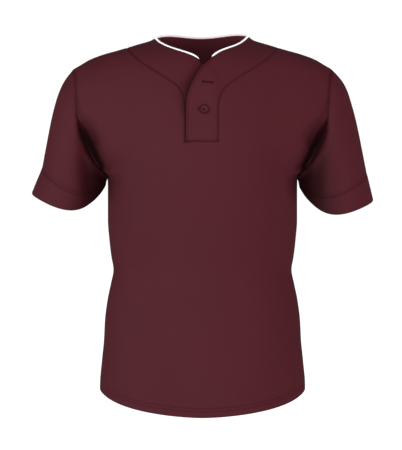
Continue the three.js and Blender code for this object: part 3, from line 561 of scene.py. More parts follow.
# %% Build a shell of cloth from its grid
def shade_cloth(points, normals, seams, stitch_rows=(), ripple=0.0, joins=()):
    """Rolls the cloth into its seams and presses in its stitch rows. Gives the points and the seam mask,
    which is painted shade.

    Seams are lines with how strongly each shows. Joins are seams where two pieces meet at an angle, with how
    far and how strongly a painted shade lies beside them. They aren't rolled in, so that the pieces stay
    closed.
    """
    sink = np.zeros(points.shape[:-1])
    mask = np.zeros(points.shape[:-1])
    for line, strength in seams:
        away = distance_to(points, line)
        sink += SEAM_ROLL * strength * bell(away, SEAM_ROLL_WIDTH)
        mask += SEAM_PAINTED_SHADE * strength * bell(away, SEAM_SHADE_WIDTH)
    for line, reach, strength in joins:
        mask += strength * bell(distance_to(points, line), reach)
    for line, offset, strength in stitch_rows:
        away = distance_to(points, line) - offset
        sink += GROOVE * bell(away, GROOVE_WIDTH)
        mask += STITCH_PAINTED_SHADE * strength * bell(away, GROOVE_SHADE_WIDTH)
        flat = points[..., 0] + PUCKER_SLANT * points[..., 1]
        short_wave, long_wave = PUCKER_WAVES
        pucker = np.sin(flat / short_wave) + PUCKER_SHARE * np.sin(flat / long_wave + PUCKER_SHIFT)
        sink += ripple * pucker * bell(away, PUCKER_REACH)
    return points - normals * sink[..., None], np.clip(mask, 0, 1)


def turned_edge(outer, normals, mask, away, roll, roll_width, shade, shade_width):
    """Curls an open edge in a little and paints shade beside it, by how far away from the edge each point is.
    """
    outer = outer - normals * (roll * bell(away, roll_width))[..., None]
    return outer, np.clip(mask + shade * bell(away, shade_width), 0, 1)


def shell(name, outer, inner, uv, mask, cells=None, tube=False, deep=0.0):
    rows, columns = outer.shape[:2]
    count = rows * columns
    i, j = np.meshgrid(np.arange(columns if tube else columns - 1), np.arange(rows - 1))
    corner_i = np.stack([i, i + 1, i + 1, i], -1)
    corner_j = np.stack([j, j, j + 1, j + 1], -1)
    if cells is not None:
        corner_i, corner_j = corner_i[cells], corner_j[cells]
    corner_i, corner_j = corner_i.reshape(-1, 4), corner_j.reshape(-1, 4)
    quads = corner_j * columns + corner_i % columns
    quad_uv = uv[corner_j, corner_i]
    flat_outer, flat_inner = outer.reshape(-1, 3), inner.reshape(-1, 3)
    a, b, c, d = (flat_outer[quads[:, k]] for k in range(4))
    outward = (flat_outer - flat_inner)[quads[:, 0]]
    if (np.cross(c - a, d - b) * outward).sum() < 0:
        quads, quad_uv = quads[:, ::-1], quad_uv[:, ::-1]
    edges = {}
    for quad, quad_places in zip(quads.tolist(), quad_uv):
        for k in range(4):
            edges[quad[k], quad[(k + 1) % 4]] = (quad_places[k], quad_places[(k + 1) % 4])
    rim = [(pair, ends) for pair, ends in edges.items() if (pair[1], pair[0]) not in edges]
    rim_quads = np.array([(q, p, p + count, q + count) for (p, q), _ in rim])
    rim_uv = np.array([(e[1], e[0], e[0], e[1]) for _, e in rim])
    faces = np.concatenate([quads, quads[:, ::-1] + count, rim_quads])
    face_uv = np.concatenate([quad_uv, quad_uv[:, ::-1], rim_uv])
    used, faces = np.unique(faces, return_inverse=True)
    points = np.concatenate([flat_outer, flat_inner])[used] * MM
    mesh = bpy.data.meshes.new(name)
    mesh.from_pydata(points.tolist(), [], faces.reshape(-1, 4).tolist())
    mesh.uv_layers.new(name="cloth").data.foreach_set("uv", face_uv.ravel() * MM)
    # The seam mask is a redder painted shade, the deep mask a darker painted shade.
    seam_mask = mesh.attributes.new("seam", "FLOAT", "POINT")
    seam_mask.data.foreach_set("value", np.tile(mask.ravel(), 2)[used])
    deep_mask = mesh.attributes.new("deep", "FLOAT", "POINT")
    deep = np.broadcast_to(deep, outer.shape[:2]).ravel()
    deep_mask.data.foreach_set("value", np.tile(deep, 2)[used])
    mesh.shade_smooth()
    return add_object(name, mesh)


def grid_normals(points, tube=False):
    if tube:
        wide = np.concatenate([points[:, -1:], points, points[:, :1]], 1)
        across = wide[:, 2:] - wide[:, :-2]
    else:
        across = np.gradient(points, axis=1)
    return unit(np.cross(across, np.gradient(points, axis=0)))


def area_of(points, tube=False):
    wide = np.concatenate([points, points[:, :1]], 1) if tube else points
    a, b, c, d = wide[:-1, :-1], wide[:-1, 1:], wide[1:, 1:], wide[1:, :-1]
    return float(np.linalg.norm(np.cross(c - a, d - b), axis=-1).sum() / 2) * MM**2


def tell(piece, area):
    print(piece.name, len(piece.data.polygons), "faces,", round(area, 4), "m2 of cloth")


print("knit is", CLOTH, "mm thick, and", TURNED_EDGE, "mm at a turned edge")

# %% [markdown]
# The front is one piece from side seam to side seam, with a notch for the placket and the yoke. Below the
# underarm its rows are level, and above it each half is blended between the yoke seam and the armhole.
# The bottom 18 mm is turned up and held by two rows of stitches, so the rows there are listed one by one.
# Beside the top placket's edge lies its shade, in both masks, and the table says how far it reaches at a
# height.

# %% Cut the front and back panels
HEM_TURN_UP = 18.0
HEM_ROWS = [
    0, 0.8, 1.7, 3, 4.8, 7, 9, 10.3, 11.1, 11.8, 12.6, 13.8, 15.4, 16.8, 17.6, 18.3, 19.1, 20.4, 22.5, 26,
]
ROW_ABOVE_HEM = 4
HEM_STITCHES = (11.5, 17.8)
HEM_PUCKER = 0.12
SIDE_LENGTH, NOTCH_LENGTH, HALF_CHEST_LENGTH = 450, 64, 285
UPPER_ROWS = 64
WIDE = 150.0
NOTCH_AREA = 0.013
FAINT_SEAM = 0.55
# The top placket's painted shadow on the cloth beside it, and how far and how deep it lies at a height.
PLACKET_PAINTED_SHADOW, PLACKET_SHADE_END = 0.85, 20
PLACKET_POINTS = 160
PLACKET_SHADES = table(
    "z reach deep",
    (-210, 4.5, 0.5),
    (-165, 5.5, 0.55),
    (-130, 13, 0.55),
    (-100, 17, 0.42),
    (-70, 14, 0.3),
)


def underarm_line(x):
    return lerp(PLACKET_BOTTOM, UNDERARM, smooth(np.abs(x), NOTCH_SIDE, half_width(UNDERARM)))


def body_uv(turn, z):
    return np.stack([turn * WIDE, z + 0 * turn], -1)


def lower_rows(places, behind):
    top_z = underarm_line(places)
    turn = turn_at(places, top_z, False)
    hem = hem_height(turn)
    start = HEM_ROWS[-1] + ROW_ABOVE_HEM
    shares = spaced(SIDE_LENGTH, coarse=5.0)
    z = np.concatenate([
        hem + np.array(HEM_ROWS)[:, None],
        lerp(hem + start, top_z, shares[:, None]),
    ])
    turn = np.broadcast_to(np.pi - turn if behind else turn, z.shape)
    return turn, z


def panel_wall(z, turn):
    above = z - hem_height(turn)
    return np.where(above < HEM_TURN_UP + 1, TURNED_EDGE, CLOTH)


notch = spaced(NOTCH_LENGTH, coarse=4.0)
side = spaced(HALF_CHEST_LENGTH, coarse=5.0)
notch_half = float(yoke_half(PLACKET_BOTTOM))
notch_places = PLACKET_MIDDLE + lerp(-notch_half, notch_half, notch)
notch_turns = turn_at(notch_places[[0, -1]], PLACKET_BOTTOM, False)
right_turns = lerp(-np.pi / 2, notch_turns[0], side)
left_turns = lerp(notch_turns[1], np.pi / 2, side)


def places_of(turns):
    return np.sign(turns) * side_reach(np.abs(np.sin(turns)), UNDERARM)


front_places = np.concatenate([places_of(right_turns)[:-1], notch_places, places_of(left_turns)[1:]])
upper = rounded(UPPER_ROWS)


def front_upper(hand):
    """Turns and heights of the front beside the yoke, from its seam out to the armhole."""
    start = yoke_seam_places(hand, upper)
    z = lerp(UNDERARM, ARMHOLE_TOP, upper)
    end = np.stack([hand * armhole_side(z), z], -1)
    x = front_places[-len(side):] if hand > 0 else front_places[: len(side)][::-1]
    bottom = np.stack([x, underarm_line(x)], -1)
    u = side if hand > 0 else 1 - side[::-1]
    top_z = lerp(YOKE_TOP, ARMHOLE_TOP, u)
    top = np.stack([hand * half_width(top_z), top_z], -1)
    places = between(bottom, top, start, end, u, upper)
    return turn_at(places[..., 0], places[..., 1], False), places[..., 1]


def front_grid():
    turn, z = lower_rows(front_places, False)
    left, right = front_upper(1), front_upper(-1)
    gap = np.zeros((len(upper), len(notch) - 2))
    high_turn = np.concatenate([right[0][:, ::-1], gap, left[0]], 1)[1:]
    high_z = np.concatenate([right[1][:, ::-1], gap + PLACKET_BOTTOM, left[1]], 1)[1:]
    cells = np.ones((len(z) + len(high_z) - 1, z.shape[1] - 1), bool)
    cells[len(z) - 1 :, len(side) - 1 : len(side) + len(notch) - 2] = False
    return np.concatenate([turn, high_turn]), np.concatenate([z, high_z]), cells


def placket_painted_shadow(points):
    """The top placket's shadow, painted on the cloth beside its edge, for the seam mask and for the deep one.
    """
    z = np.linspace(PLACKET_BOTTOM, TOP_PLACKET_EDGE["z"][-1], PLACKET_POINTS)
    away = distance_to(points, cloth_at(top_placket_edge(z), z)[0])
    at_height = at_heights(PLACKET_SHADES, points)
    near = bell(away, at_height["reach"]) * (points[..., 0] < PLACKET_SHADE_END)
    return PLACKET_PAINTED_SHADOW * near, at_height["deep"] * near


def body_panel(name, turn, z, seams, behind, cells=None):
    points, normals = body_point(turn, z), body_normal(turn, z)
    hem_rows = [(hem_edge(behind), row, 1) for row in HEM_STITCHES]
    armholes = [armhole_seam(1, behind), armhole_seam(-1, behind)]
    joins = armhole_joins(points, armholes)
    outer, mask = shade_cloth(points, normals, seams, hem_rows, ripple=HEM_PUCKER, joins=joins)
    # The front gets the top placket's painted shadow.
    under_placket = (0, 0) if behind else placket_painted_shadow(points)
    mask = np.maximum(mask, under_placket[0])
    inner = outer - normals * panel_wall(z, turn)[..., None]
    # Deep painted shade: the top placket's shadow and the armpits' folds.
    deep = under_placket[1] + sum(armhole_painted_shade(points, line, "body") for line in armholes)
    # Where the body turns aside under the sleeves, it gets a painted shade.
    turned_aside = smooth(np.abs(normals[..., 0]), *SIDE_SHADE_TURN)
    deep = np.maximum(deep, SIDE_PAINTED_SHADE * smooth(z, *SIDE_SHADE_HEIGHTS) * turned_aside)
    piece = shell(name, outer, inner, body_uv(turn, z), mask, cells, deep=deep)
    tell(piece, area_of(points) - (0 if cells is None else NOTCH_AREA))
    return piece


front_seams = [(side_seam(1), 1), (side_seam(-1), 1), (yoke_seam(1), FAINT_SEAM), (yoke_seam(-1), 1),
               (placket_bottom(), 1), (shoulder_seam(1), 1), (shoulder_seam(-1), 1)]
front_turn, front_z, front_cells = front_grid()
front_cloth = body_panel("front_cloth", front_turn, front_z, front_seams, False, front_cells)

# %% [markdown]
# The back is one plain piece. Its top edge is made of two shoulder seams and the back neckline, which is
# nearly level, and it meets the sleeves along the same armholes as the front.

# %% Cut the back panel
SHOULDER_LENGTH, NECK_LENGTH = 175, 190
BACK_SHOULDER, BACK_NECK = spaced(SHOULDER_LENGTH, coarse=6.0), spaced(NECK_LENGTH, coarse=5.0)


def back_top_places():
    right_end, left_end = -RIGHT_NECKLINE["x"][-1], LEFT_NECKLINE["x"][-1]
    right_z, left_z = float(right_neck_height(-right_end)), float(left_neck_height(left_end))
    right_heights = lerp(ARMHOLE_TOP, right_z, BACK_SHOULDER)
    left_heights = lerp(left_z, ARMHOLE_TOP, BACK_SHOULDER)
    turn = lerp(-np.pi / 2, np.pi / 2, BACK_NECK)
    rise = BACK_NECK_RISE * np.abs(np.cos(turn)) ** BACK_NECK_ROUNDNESS
    neck_z = lerp(right_z, left_z, BACK_NECK) + rise + BACK_NECK_SWELL * np.sin(2 * turn) ** 2
    neck = np.stack([np.sin(turn) * half_width(neck_z), neck_z], -1)
    right = np.stack([-half_width(right_heights), right_heights], -1)
    left = np.stack([half_width(left_heights), left_heights], -1)
    return np.concatenate([right[:-1], neck, left[1:]])


def back_grid():
    top = back_top_places()
    top_line = body_point(np.pi - turn_at(top[:, 0], top[:, 1], False), top[:, 1])
    run = np.linalg.norm(np.diff(top_line, axis=0), axis=1)
    u = np.concatenate([[0], np.cumsum(run)]) / run.sum()
    turns = lerp(-np.pi / 2, np.pi / 2, u)
    places = places_of(turns)
    bottom = np.stack([places, underarm_line(places)], -1)
    z = lerp(UNDERARM, ARMHOLE_TOP, upper)
    right = np.stack([-armhole_side(z), z], -1)
    left = np.stack([armhole_side(z), z], -1)
    high = between(bottom, top, right, left, u, upper)[1:]
    low_turn, low_z = lower_rows(places, True)
    high_turn = turn_at(high[..., 0], high[..., 1], True)
    low_turn = np.where(low_turn > np.pi, low_turn - 2 * np.pi, low_turn)
    return np.concatenate([low_turn, high_turn]), np.concatenate([low_z, high[..., 1]])


back_turn, back_z = back_grid()
back_seams = [(side_seam(1), 1), (side_seam(-1), 1), (shoulder_seam(1), 1), (shoulder_seam(-1), 1)]
back_cloth = body_panel("back_cloth", back_turn, back_z, back_seams, True)

# %% [markdown]
# The neck yoke is what makes this jersey: each side is one piece from the shoulder seam down into the
# placket. The left one ends in the top placket, whose curved front edge sweeps across the neck opening. The
# right one ends in the under placket. Each is blended between its opening edge and the yoke seam.

# %% Cut the neck yokes
NECK_SHARE = 2 / 3
YOKE_ROWS, NECK_ROW = 96, 64
YOKE_LENGTH = 75
EDGE_SPACING, SHOULDER_FIT = 0.9, 4
# The edge stitch row's painted shade is twice as strong as a plain row's.
EDGE_STITCH, EDGE_STITCH_SHADE = 3.2, 2
SEAM_STITCH = 2.4
FOOT_STITCH = 3.2
YOKE_EDGE = dict(roll=0.7, roll_width=0.8, shade_width=1.5)
# Painted shade beside the opening edges of the top and the under yoke.
TOP_EDGE_SHADE, UNDER_EDGE_SHADE = 0.1, 0.4


def opening_places(hand, edge, neckline, neck_height, s):
    """The opening edge of a yoke: up the placket's edge to the neck, then along the neckline."""
    tip_x, tip_z, shoulder = neckline["x"][0], neckline["z"][0], neckline["x"][-1]
    up = np.clip(s / NECK_SHARE, 0, 1)
    z_edge = lerp(PLACKET_BOTTOM, tip_z, np.sin(np.pi / 2 * up) ** EDGE_SPACING)
    share = np.clip((s - NECK_SHARE) / (1 - NECK_SHARE), 0, 1)
    across = lerp(tip_x, shoulder, np.sin(np.pi / 2 * share))
    z_neck = neck_height(across)
    at_shoulder = float(half_width(neck_height(shoulder)))
    x_neck = hand * across * lerp(1, at_shoulder / shoulder, share**SHOULDER_FIT)
    on_edge = s <= NECK_SHARE
    return np.stack([np.where(on_edge, edge(z_edge), x_neck), np.where(on_edge, z_edge, z_neck)], -1)


def yoke_places(hand, edge, neckline, neck_height):
    s, v = np.linspace(0, 1, YOKE_ROWS + 1), rounded(YOKE_ROWS)
    opening = opening_places(hand, edge, neckline, neck_height, s)
    seam = yoke_seam_places(hand, v)
    u = spaced(YOKE_LENGTH, coarse=2.4)
    bottom = np.stack([lerp(opening[0, 0], seam[0, 0], u), np.full(len(u), PLACKET_BOTTOM)], -1)
    top_z = lerp(opening[-1, 1], YOKE_TOP, u)
    top = np.stack([hand * half_width(top_z), top_z], -1)
    return between(bottom, top, opening, seam, u, v)


def yoke(name, hand, places, lift, stitch_rows, edge_shade):
    x, z = places[..., 0], places[..., 1]
    points, normals = cloth_at(x, z, lift=lift(x, z))
    edge = points[:, 0]
    seams = [(yoke_seam_lifted(hand, lift), FAINT_SEAM if hand > 0 else 1), (shoulder_seam(hand), 1)]
    outer, mask = shade_cloth(points, normals, seams, stitch_rows)
    away = distance_to(points, edge)
    outer, mask = turned_edge(outer, normals, mask, away, shade=edge_shade, **YOKE_EDGE)
    deep = 0.0
    if hand < 0:
        # The under yoke gets the top placket's painted shadow.
        red, deep = placket_painted_shadow(cloth_at(x, z)[0])
        mask = np.maximum(mask, red)
    turned = smooth(away, EDGE_STITCH, EDGE_STITCH + 1)[..., None]
    inner = outer - normals * lerp(YOKE_CLOTH, CLOTH, turned)
    piece = shell(name, outer, inner, body_uv(turn_at(x, z, False), z), mask, deep=deep)
    tell(piece, area_of(points))
    return piece, points, inner


def yoke_seam_lifted(hand, lift):
    places = yoke_seam_places(hand, STEPS)
    return cloth_at(places[:, 0], places[:, 1], lift=lift(places[:, 0], places[:, 1]))[0]


def placket_foot(lift):
    half = float(yoke_half(PLACKET_BOTTOM))
    x = PLACKET_MIDDLE + lerp(-half, half, STEPS)
    return cloth_at(x, PLACKET_BOTTOM, lift=lift(x, PLACKET_BOTTOM))[0]


left_places = yoke_places(1, top_placket_edge, LEFT_NECKLINE, left_neck_height)
right_places = yoke_places(-1, under_placket_edge, RIGHT_NECKLINE, right_neck_height)
edge_x, edge_z = left_places[: NECK_ROW + 1, 0].T
left_edge = cloth_at(edge_x, edge_z, lift=top_placket_lift(edge_x, edge_z))[0]
left_rows = [(left_edge, EDGE_STITCH, EDGE_STITCH_SHADE),
             (yoke_seam_lifted(1, top_placket_lift), SEAM_STITCH, 1),
             (placket_foot(top_placket_lift), FOOT_STITCH, 1)]
right_rows = [(yoke_seam_lifted(-1, under_placket_lift), SEAM_STITCH, 1)]
yoke_left, left_points, left_inner = yoke(
    "yoke_left_cloth", 1, left_places, top_placket_lift, left_rows, TOP_EDGE_SHADE)
yoke_right, right_points, right_inner = yoke(
    "yoke_right_cloth", -1, right_places, under_placket_lift, right_rows, UNDER_EDGE_SHADE)

# %% [markdown]
# A sleeve is a tube of slanting rings. The first ring is the armhole itself, and the difference to it dies
# out down the sleeve. Out and in are the ring's ends over and under the arm, and its front and back sag
# below the line between them, so the hem curves as it does on a hanging arm. Drop lowers the front and
# raises the back. Lean moves the ring's inner side forward, or back where it is negative.

# %% Cut the sleeves and their bands
SLEEVE_COLUMNS = "outside out_z inside in_z deep drop sag lean"
LEFT_RINGS = table(
    SLEEVE_COLUMNS,
    (259, -62, 191.7, -272, 58, 0, 0, 0),
    (278, -82, 190.2, -276, 61, 1, 1, 4),
    (290, -104, 189.9, -277.5, 63.5, 3, 1, -3),
    (298, -130, 190, -279, 65.5, 6, 2, -9),
    (306, -158, 190.3, -280, 67, 9, 5, -13),
    (313, -190, 190.7, -281, 68, 12, 10, -15),
    (319, -220, 191.3, -282.5, 68.5, 14, 14, -15),
    (324, -246, 192, -284, 68.5, 16, 17, -15),
    (329, -271, 192.8, -286, 68, 17, 19.5, -14),
    (335, -296, 194, -292, 66, 16, 24.5, -12),
    (341, -322, 195, -298, 63, 14, 28, -8),
)
RIGHT_RINGS = table(
    SLEEVE_COLUMNS,
    (259, -62, 191.7, -272, 58, 0, 0, 0),
    (275, -82, 190.2, -276, 61, 1, 1, 4),
    (286, -104, 189.9, -277, 63.5, 3, 1, -3),
    (294, -128, 190, -278, 65.5, 6, 2, -9),
    (301, -155, 190.3, -279, 67, 9, 5, -13),
    (307, -184, 190.7, -280, 68, 12, 10, -15),
    (312.5, -213, 191.3, -281, 68.5, 14, 14, -15),
    (317, -237, 192, -282, 68.5, 16, 17, -15),
    (321, -259, 192.8, -283.5, 68, 17, 19.5, -14),
    (331, -283, 193.8, -288.5, 66, 16, 24.5, -12),
    (341, -308, 194.5, -294, 63, 14, 28, -8),
)
BAND_RING, LAST_RING = 8, 10
RING_SKEW = 0.6
LEAN_POWER = 1.5
FIT_POWER, DEPTH_POWER = 2, 8
RING_RADIUS, RING_STEP = 66.0, 20.0
SLEEVE_SIDES = 112
ALL_ROUND = [*range(SLEEVE_SIDES), 0]
SLEEVE_LENGTH, BAND_LENGTH = 150, 45
BAND_PROUD = 0.5
BAND_SEAM = 0.3
# The band's hem edge curls in and gets a painted shade beside it.
BAND_EDGE = dict(roll=0.8, roll_width=1.0, shade=0.3, shade_width=1.2)
# The sleeve's stitch row paints a stronger shade in its groove.
SLEEVE_STITCH, SLEEVE_STITCH_SHADE = 4.8, 1.6
BAND_STITCH = 2.2
# Painted shade on a sleeve's front where it turns in under the arm.
UNDER_ARM_PAINTED_SHADE = 0.85
UNDER_ARM_END = (180, 215)
UNDER_ARM_ANGLES = (67.0, 131.0)
UNDER_ARM_RINGS = (1.0, 5.0)
SLEEVE_FOLDS = table(
    "x0 z0 x1 z1 width depth",
    (112, 42, 128, 190, 18, 6.5),
    (64, 70, 86, 190, 17, 1.8),
    (20, 90, 34, 196, 18, 1.4),
    (-104, 40, -128, 150, 13, 3.8),
    (-52, 54, -70, 190, 18, 2.4),
)


def ring_curves(rings):
    at = np.arange(LAST_RING + 1)
    return {name: curve_through(at, values, soften=0.3) for name, values in rings.items()}


def plain_ring(hand, ring, t, angle):
    across, forward = np.cos(angle), np.sin(angle)
    share = (1 + across) / 2
    sag = ring["sag"](t) * forward**2 * (1 - RING_SKEW * across)
    side_out = lerp(ring["inside"](t), ring["outside"](t), share)
    z = lerp(ring["in_z"](t), ring["out_z"](t), share) - ring["drop"](t) * forward - sag
    lean = ring["lean"](t) * (1 - share) ** LEAN_POWER
    return np.stack([hand * side_out, -ring["deep"](t) * forward - lean, z], -1)


def sleeve_point(hand, ring, t, angle):
    left = np.maximum(0, 1 - t / BAND_RING)
    fit = armhole_point(hand, angle) - plain_ring(hand, ring, 0.0, angle)
    fit = fit * np.stack([left**FIT_POWER, left**DEPTH_POWER, left**FIT_POWER], -1)
    return plain_ring(hand, ring, t, angle) + fit


def sleeve_skin(hand, rings, t):
    """Points and outward normals of a sleeve at the given ring numbers, folds included."""
    ring = ring_curves(rings)
    angle = np.linspace(0, 2 * np.pi, SLEEVE_SIDES, endpoint=False)
    t, angle = np.meshgrid(t, angle, indexing="ij")
    points = sleeve_point(hand, ring, t, angle)
    normals = grid_normals(points, tube=True)
    middle = points.mean(1, keepdims=True)
    if ((points - middle) * normals).sum() < 0:
        normals = -normals
    degrees = np.degrees(np.where(angle > np.pi, angle - 2 * np.pi, angle))
    folds = dict(SLEEVE_FOLDS, x0=np.radians(SLEEVE_FOLDS["x0"]) * RING_RADIUS,
                 x1=np.radians(SLEEVE_FOLDS["x1"]) * RING_RADIUS)
    depth = fold_depth(folds, np.radians(degrees) * RING_RADIUS, t * RING_STEP)
    return points - normals * depth[..., None], normals, angle


def tube_uv(points):
    around = np.linspace(0, 2 * np.pi * RING_RADIUS, SLEEVE_SIDES + 1)
    down = np.concatenate([[0], np.cumsum(np.linalg.norm(np.diff(points, axis=0), axis=-1).mean(1))])
    return np.stack(np.meshgrid(around, -down), -1)


def under_arm_painted_shade(angle, t):
    """The deep painted shade on a sleeve's front where it turns in under the arm. It fades out up the sleeve.
    """
    degrees = np.degrees(angle)
    turned_in = smooth(degrees, *UNDER_ARM_ANGLES) * (1 - smooth(degrees, *UNDER_ARM_END))
    return UNDER_ARM_PAINTED_SHADE * turned_in * smooth(t, *UNDER_ARM_RINGS)


def sleeve(side, hand, rings):
    t = BAND_RING * spaced(SLEEVE_LENGTH, coarse=4.0)
    points, normals, angle = sleeve_skin(hand, rings, t)
    armhole = np.concatenate([armhole_seam(hand, False), armhole_seam(hand, True)])
    band_seam = points[-1, ALL_ROUND]
    stitch_row = (band_seam, SLEEVE_STITCH, SLEEVE_STITCH_SHADE)
    outer, mask = shade_cloth(points, normals, [(band_seam, BAND_SEAM)], [stitch_row],
                              joins=armhole_joins(points, [armhole]))
    inner = outer - normals * CLOTH
    deep = np.maximum(armhole_painted_shade(points, armhole, "sleeve"), under_arm_painted_shade(angle, t[:, None]))
    cloth = shell(f"sleeve_{side}_cloth", outer, inner, tube_uv(points), mask, tube=True, deep=deep)
    tell(cloth, area_of(points, tube=True))
    band_t = lerp(BAND_RING, LAST_RING, spaced(BAND_LENGTH, coarse=3.0))
    points, normals, angle = sleeve_skin(hand, rings, band_t)
    top, hem = points[0, ALL_ROUND], points[-1, ALL_ROUND]
    proud = top + normals[0, ALL_ROUND] * BAND_PROUD
    outer, mask = shade_cloth(points + normals * BAND_PROUD, normals, [(proud, BAND_SEAM)],
                              [(top, BAND_STITCH, 1)])
    deep = under_arm_painted_shade(angle, band_t[:, None])
    outer, mask = turned_edge(outer, normals, mask, distance_to(points, hem), **BAND_EDGE)
    inner = outer - normals * TURNED_EDGE
    band = shell(f"sleeve_band_{side}_cloth", outer, inner, tube_uv(points), mask, tube=True, deep=deep)
    tell(band, area_of(points, tube=True))
    return cloth, band


sleeve_left, band_left = sleeve("left", 1, LEFT_RINGS)
sleeve_right, band_right = sleeve("right", -1, RIGHT_RINGS)

# %% [markdown]
# The piping is a strip of white satin binding folded over the raw neck edge. It is a tube with a flattened
# section, swept along the neckline. Its end on the wearer's right narrows to a point, where it slips under
# the top placket.

# %% Sweep the neck piping
PIPING_HALF, PIPING_THICK = 2.15, 1.5
PIPING_SIDES = 18
PIPING_GAP = 0.15
PIPING_START = 8.0
PIPING_END = 2.0
# Over which depth the piping's painted shade grows towards the back.
PIPING_PAINTED_SHADE_BEHIND = (5.0, 45.0)
PIPING_POINTS = 300
PIPING_NARROWS, PIPING_BLUNTS = 16, 9
TUBE_SQUARENESS = 0.8
TUBE_UV_STEP = 0.0006


def neckline_stations():
    right = (right_points[NECK_ROW:, 0], right_inner[NECK_ROW:, 0], right_points[NECK_ROW:, 1])
    left = (left_points[NECK_ROW:, 0], left_inner[NECK_ROW:, 0], left_points[NECK_ROW:, 1])
    neck = slice(len(BACK_SHOULDER) - 1, len(BACK_SHOULDER) + len(BACK_NECK) - 1)
    points, normals = body_point(back_turn, back_z), body_normal(back_turn, back_z)
    back = (points[-1, neck], points[-1, neck] - normals[-1, neck] * CLOTH, points[-2, neck])
    return [np.concatenate([r[:-1], b, l[::-1][1:]]) for r, b, l in zip(right, back, left)]


def even_line(line, values, count):
    run = length_along(line)
    at = np.linspace(0, run[-1], count)
    return at, [np.stack([np.interp(at, run, v[:, k]) for k in range(3)], -1) for v in (line, *values)]


def running_average(line, passes):
    for _ in range(passes):
        line = np.concatenate([line[:1], (line[:-2] + 2 * line[1:-1] + line[2:]) / 4, line[-1:]])
    return line


def swept_tube(name, middles, ups, half, thick, sides):
    runs = unit(np.gradient(middles, axis=0))
    ups = unit(ups - runs * (ups * runs).sum(-1, keepdims=True))
    across = np.cross(runs, ups)
    angle = np.linspace(0, 2 * np.pi, sides, endpoint=False)[None, :, None]
    squared = np.abs(np.sin(angle)) ** TUBE_SQUARENESS * np.sign(np.sin(angle))
    ring = (middles[:, None] + ups[:, None] * (half[:, None, None] * np.cos(angle))
            + across[:, None] * (thick[:, None, None] * squared))
    index = np.arange(ring.shape[0] * sides).reshape(ring.shape[0], sides)
    wide = np.concatenate([index, index[:, :1]], 1)
    quads = np.stack([wide[:-1, :-1], wide[:-1, 1:], wide[1:, 1:], wide[1:, :-1]], -1).reshape(-1, 4)
    faces = quads.tolist() + [index[0, ::-1].tolist(), index[-1].tolist()]
    mesh = bpy.data.meshes.new(name)
    mesh.from_pydata((ring.reshape(-1, 3) * MM).tolist(), [], faces)
    down = length_along(middles) * MM
    uv = mesh.uv_layers.new(name="cloth")
    corner = np.array([k for face in faces for k in face])
    uv.data.foreach_set("uv", np.stack([corner % sides * TUBE_UV_STEP, down[corner // sides]], -1).ravel())
    mesh.shade_smooth()
    return add_object(name, mesh)


def neck_piping():
    edge, inside, below = neckline_stations()
    run, (edge, inside, below) = even_line(edge, (inside, below), PIPING_POINTS)
    shown = (run > PIPING_START) & (run < run[-1] - PIPING_END)
    edge, inside, below = (line[shown] for line in (edge, inside, below))
    ups = running_average(unit(edge - below), 12)
    middles = running_average((edge + inside) / 2, 6) + unit(ups) * (PIPING_HALF + PIPING_GAP)
    run = length_along(middles)
    narrow = np.sqrt(np.clip(run / PIPING_NARROWS, 0.02, 1))
    blunt = np.sqrt(np.clip((run[-1] - run) / PIPING_BLUNTS, 0.03, 1))
    size = np.minimum(narrow, blunt)
    half, thick = PIPING_HALF * size, PIPING_THICK * size
    piece = swept_tube("neck_piping_strip", middles, ups, half, thick, PIPING_SIDES)
    # The piping's mask is a painted shade that grows towards the back of the neck.
    shade = piece.data.attributes.new("seam", "FLOAT", "POINT")
    behind = smooth(middles[:, 1], *PIPING_PAINTED_SHADE_BEHIND)
    shade.data.foreach_set("value", np.repeat(behind, PIPING_SIDES))
    return piece, run


piping, piping_run = neck_piping()
PIPING_LENGTH = piping_run[-1] * MM
print("piping:", round(PIPING_LENGTH, 3), "m")

# %% [markdown]
# The buttons are moulded plastic, 19 mm across, with a rounded rim, a dished middle and four holes. The
# face is a polar grid whose height is one formula, so the rim, the dish and the holes are all real shape.

# %% Mould the buttons
BUTTON_RADIUS = 9.5
BUTTON_PROFILE = table(
    "r height",
    (0, 1.55), (2.9, 1.6), (4.7, 1.72), (6.4, 1.9), (7.2, 2.3), (7.9, 2.6), (8.7, 2.5), (9.25, 2.05),
    (9.5, 1.4),
)
BUTTON_UNDERSIDE = table("r height", (9.3, 0.6), (8.4, 0.05), (4.0, 0.0), (0.02, 0.0))
BUTTON_SIDES = 72
HOLE_RADIUS, HOLE_SPREAD = 0.85, 1.75
HOLE_DEPTH, HOLE_EDGE = 1.25, 0.15
BUTTON_LIFT = 0.35
# Where the button's painted shade lies: a ring round the rim, and the middle among the holes.
BUTTON_PAINTED_SHADE = dict(ring=8.4, ring_width=2.1, middle=3.3)


def seat_of(place, lift):
    """The middle of a button's seat and its three directions: to the left, up and out of the cloth."""
    reach = BUTTON_RADIUS
    x = place[0] + np.array([0, reach, 0, -reach, 0])
    z = place[1] + np.array([0, 0, reach, 0, -reach])
    points, _ = cloth_at(x, z, lift=lift(x, z))
    out = unit(np.cross(points[1] - points[3], points[2] - points[4]))
    highest = (points @ out).max()
    seat = points[0] + out * (highest - points[0] @ out + BUTTON_LIFT)
    left = unit(np.array([1.0, 0, 0]) - out * out[0])
    return seat, left, np.cross(out, left), out


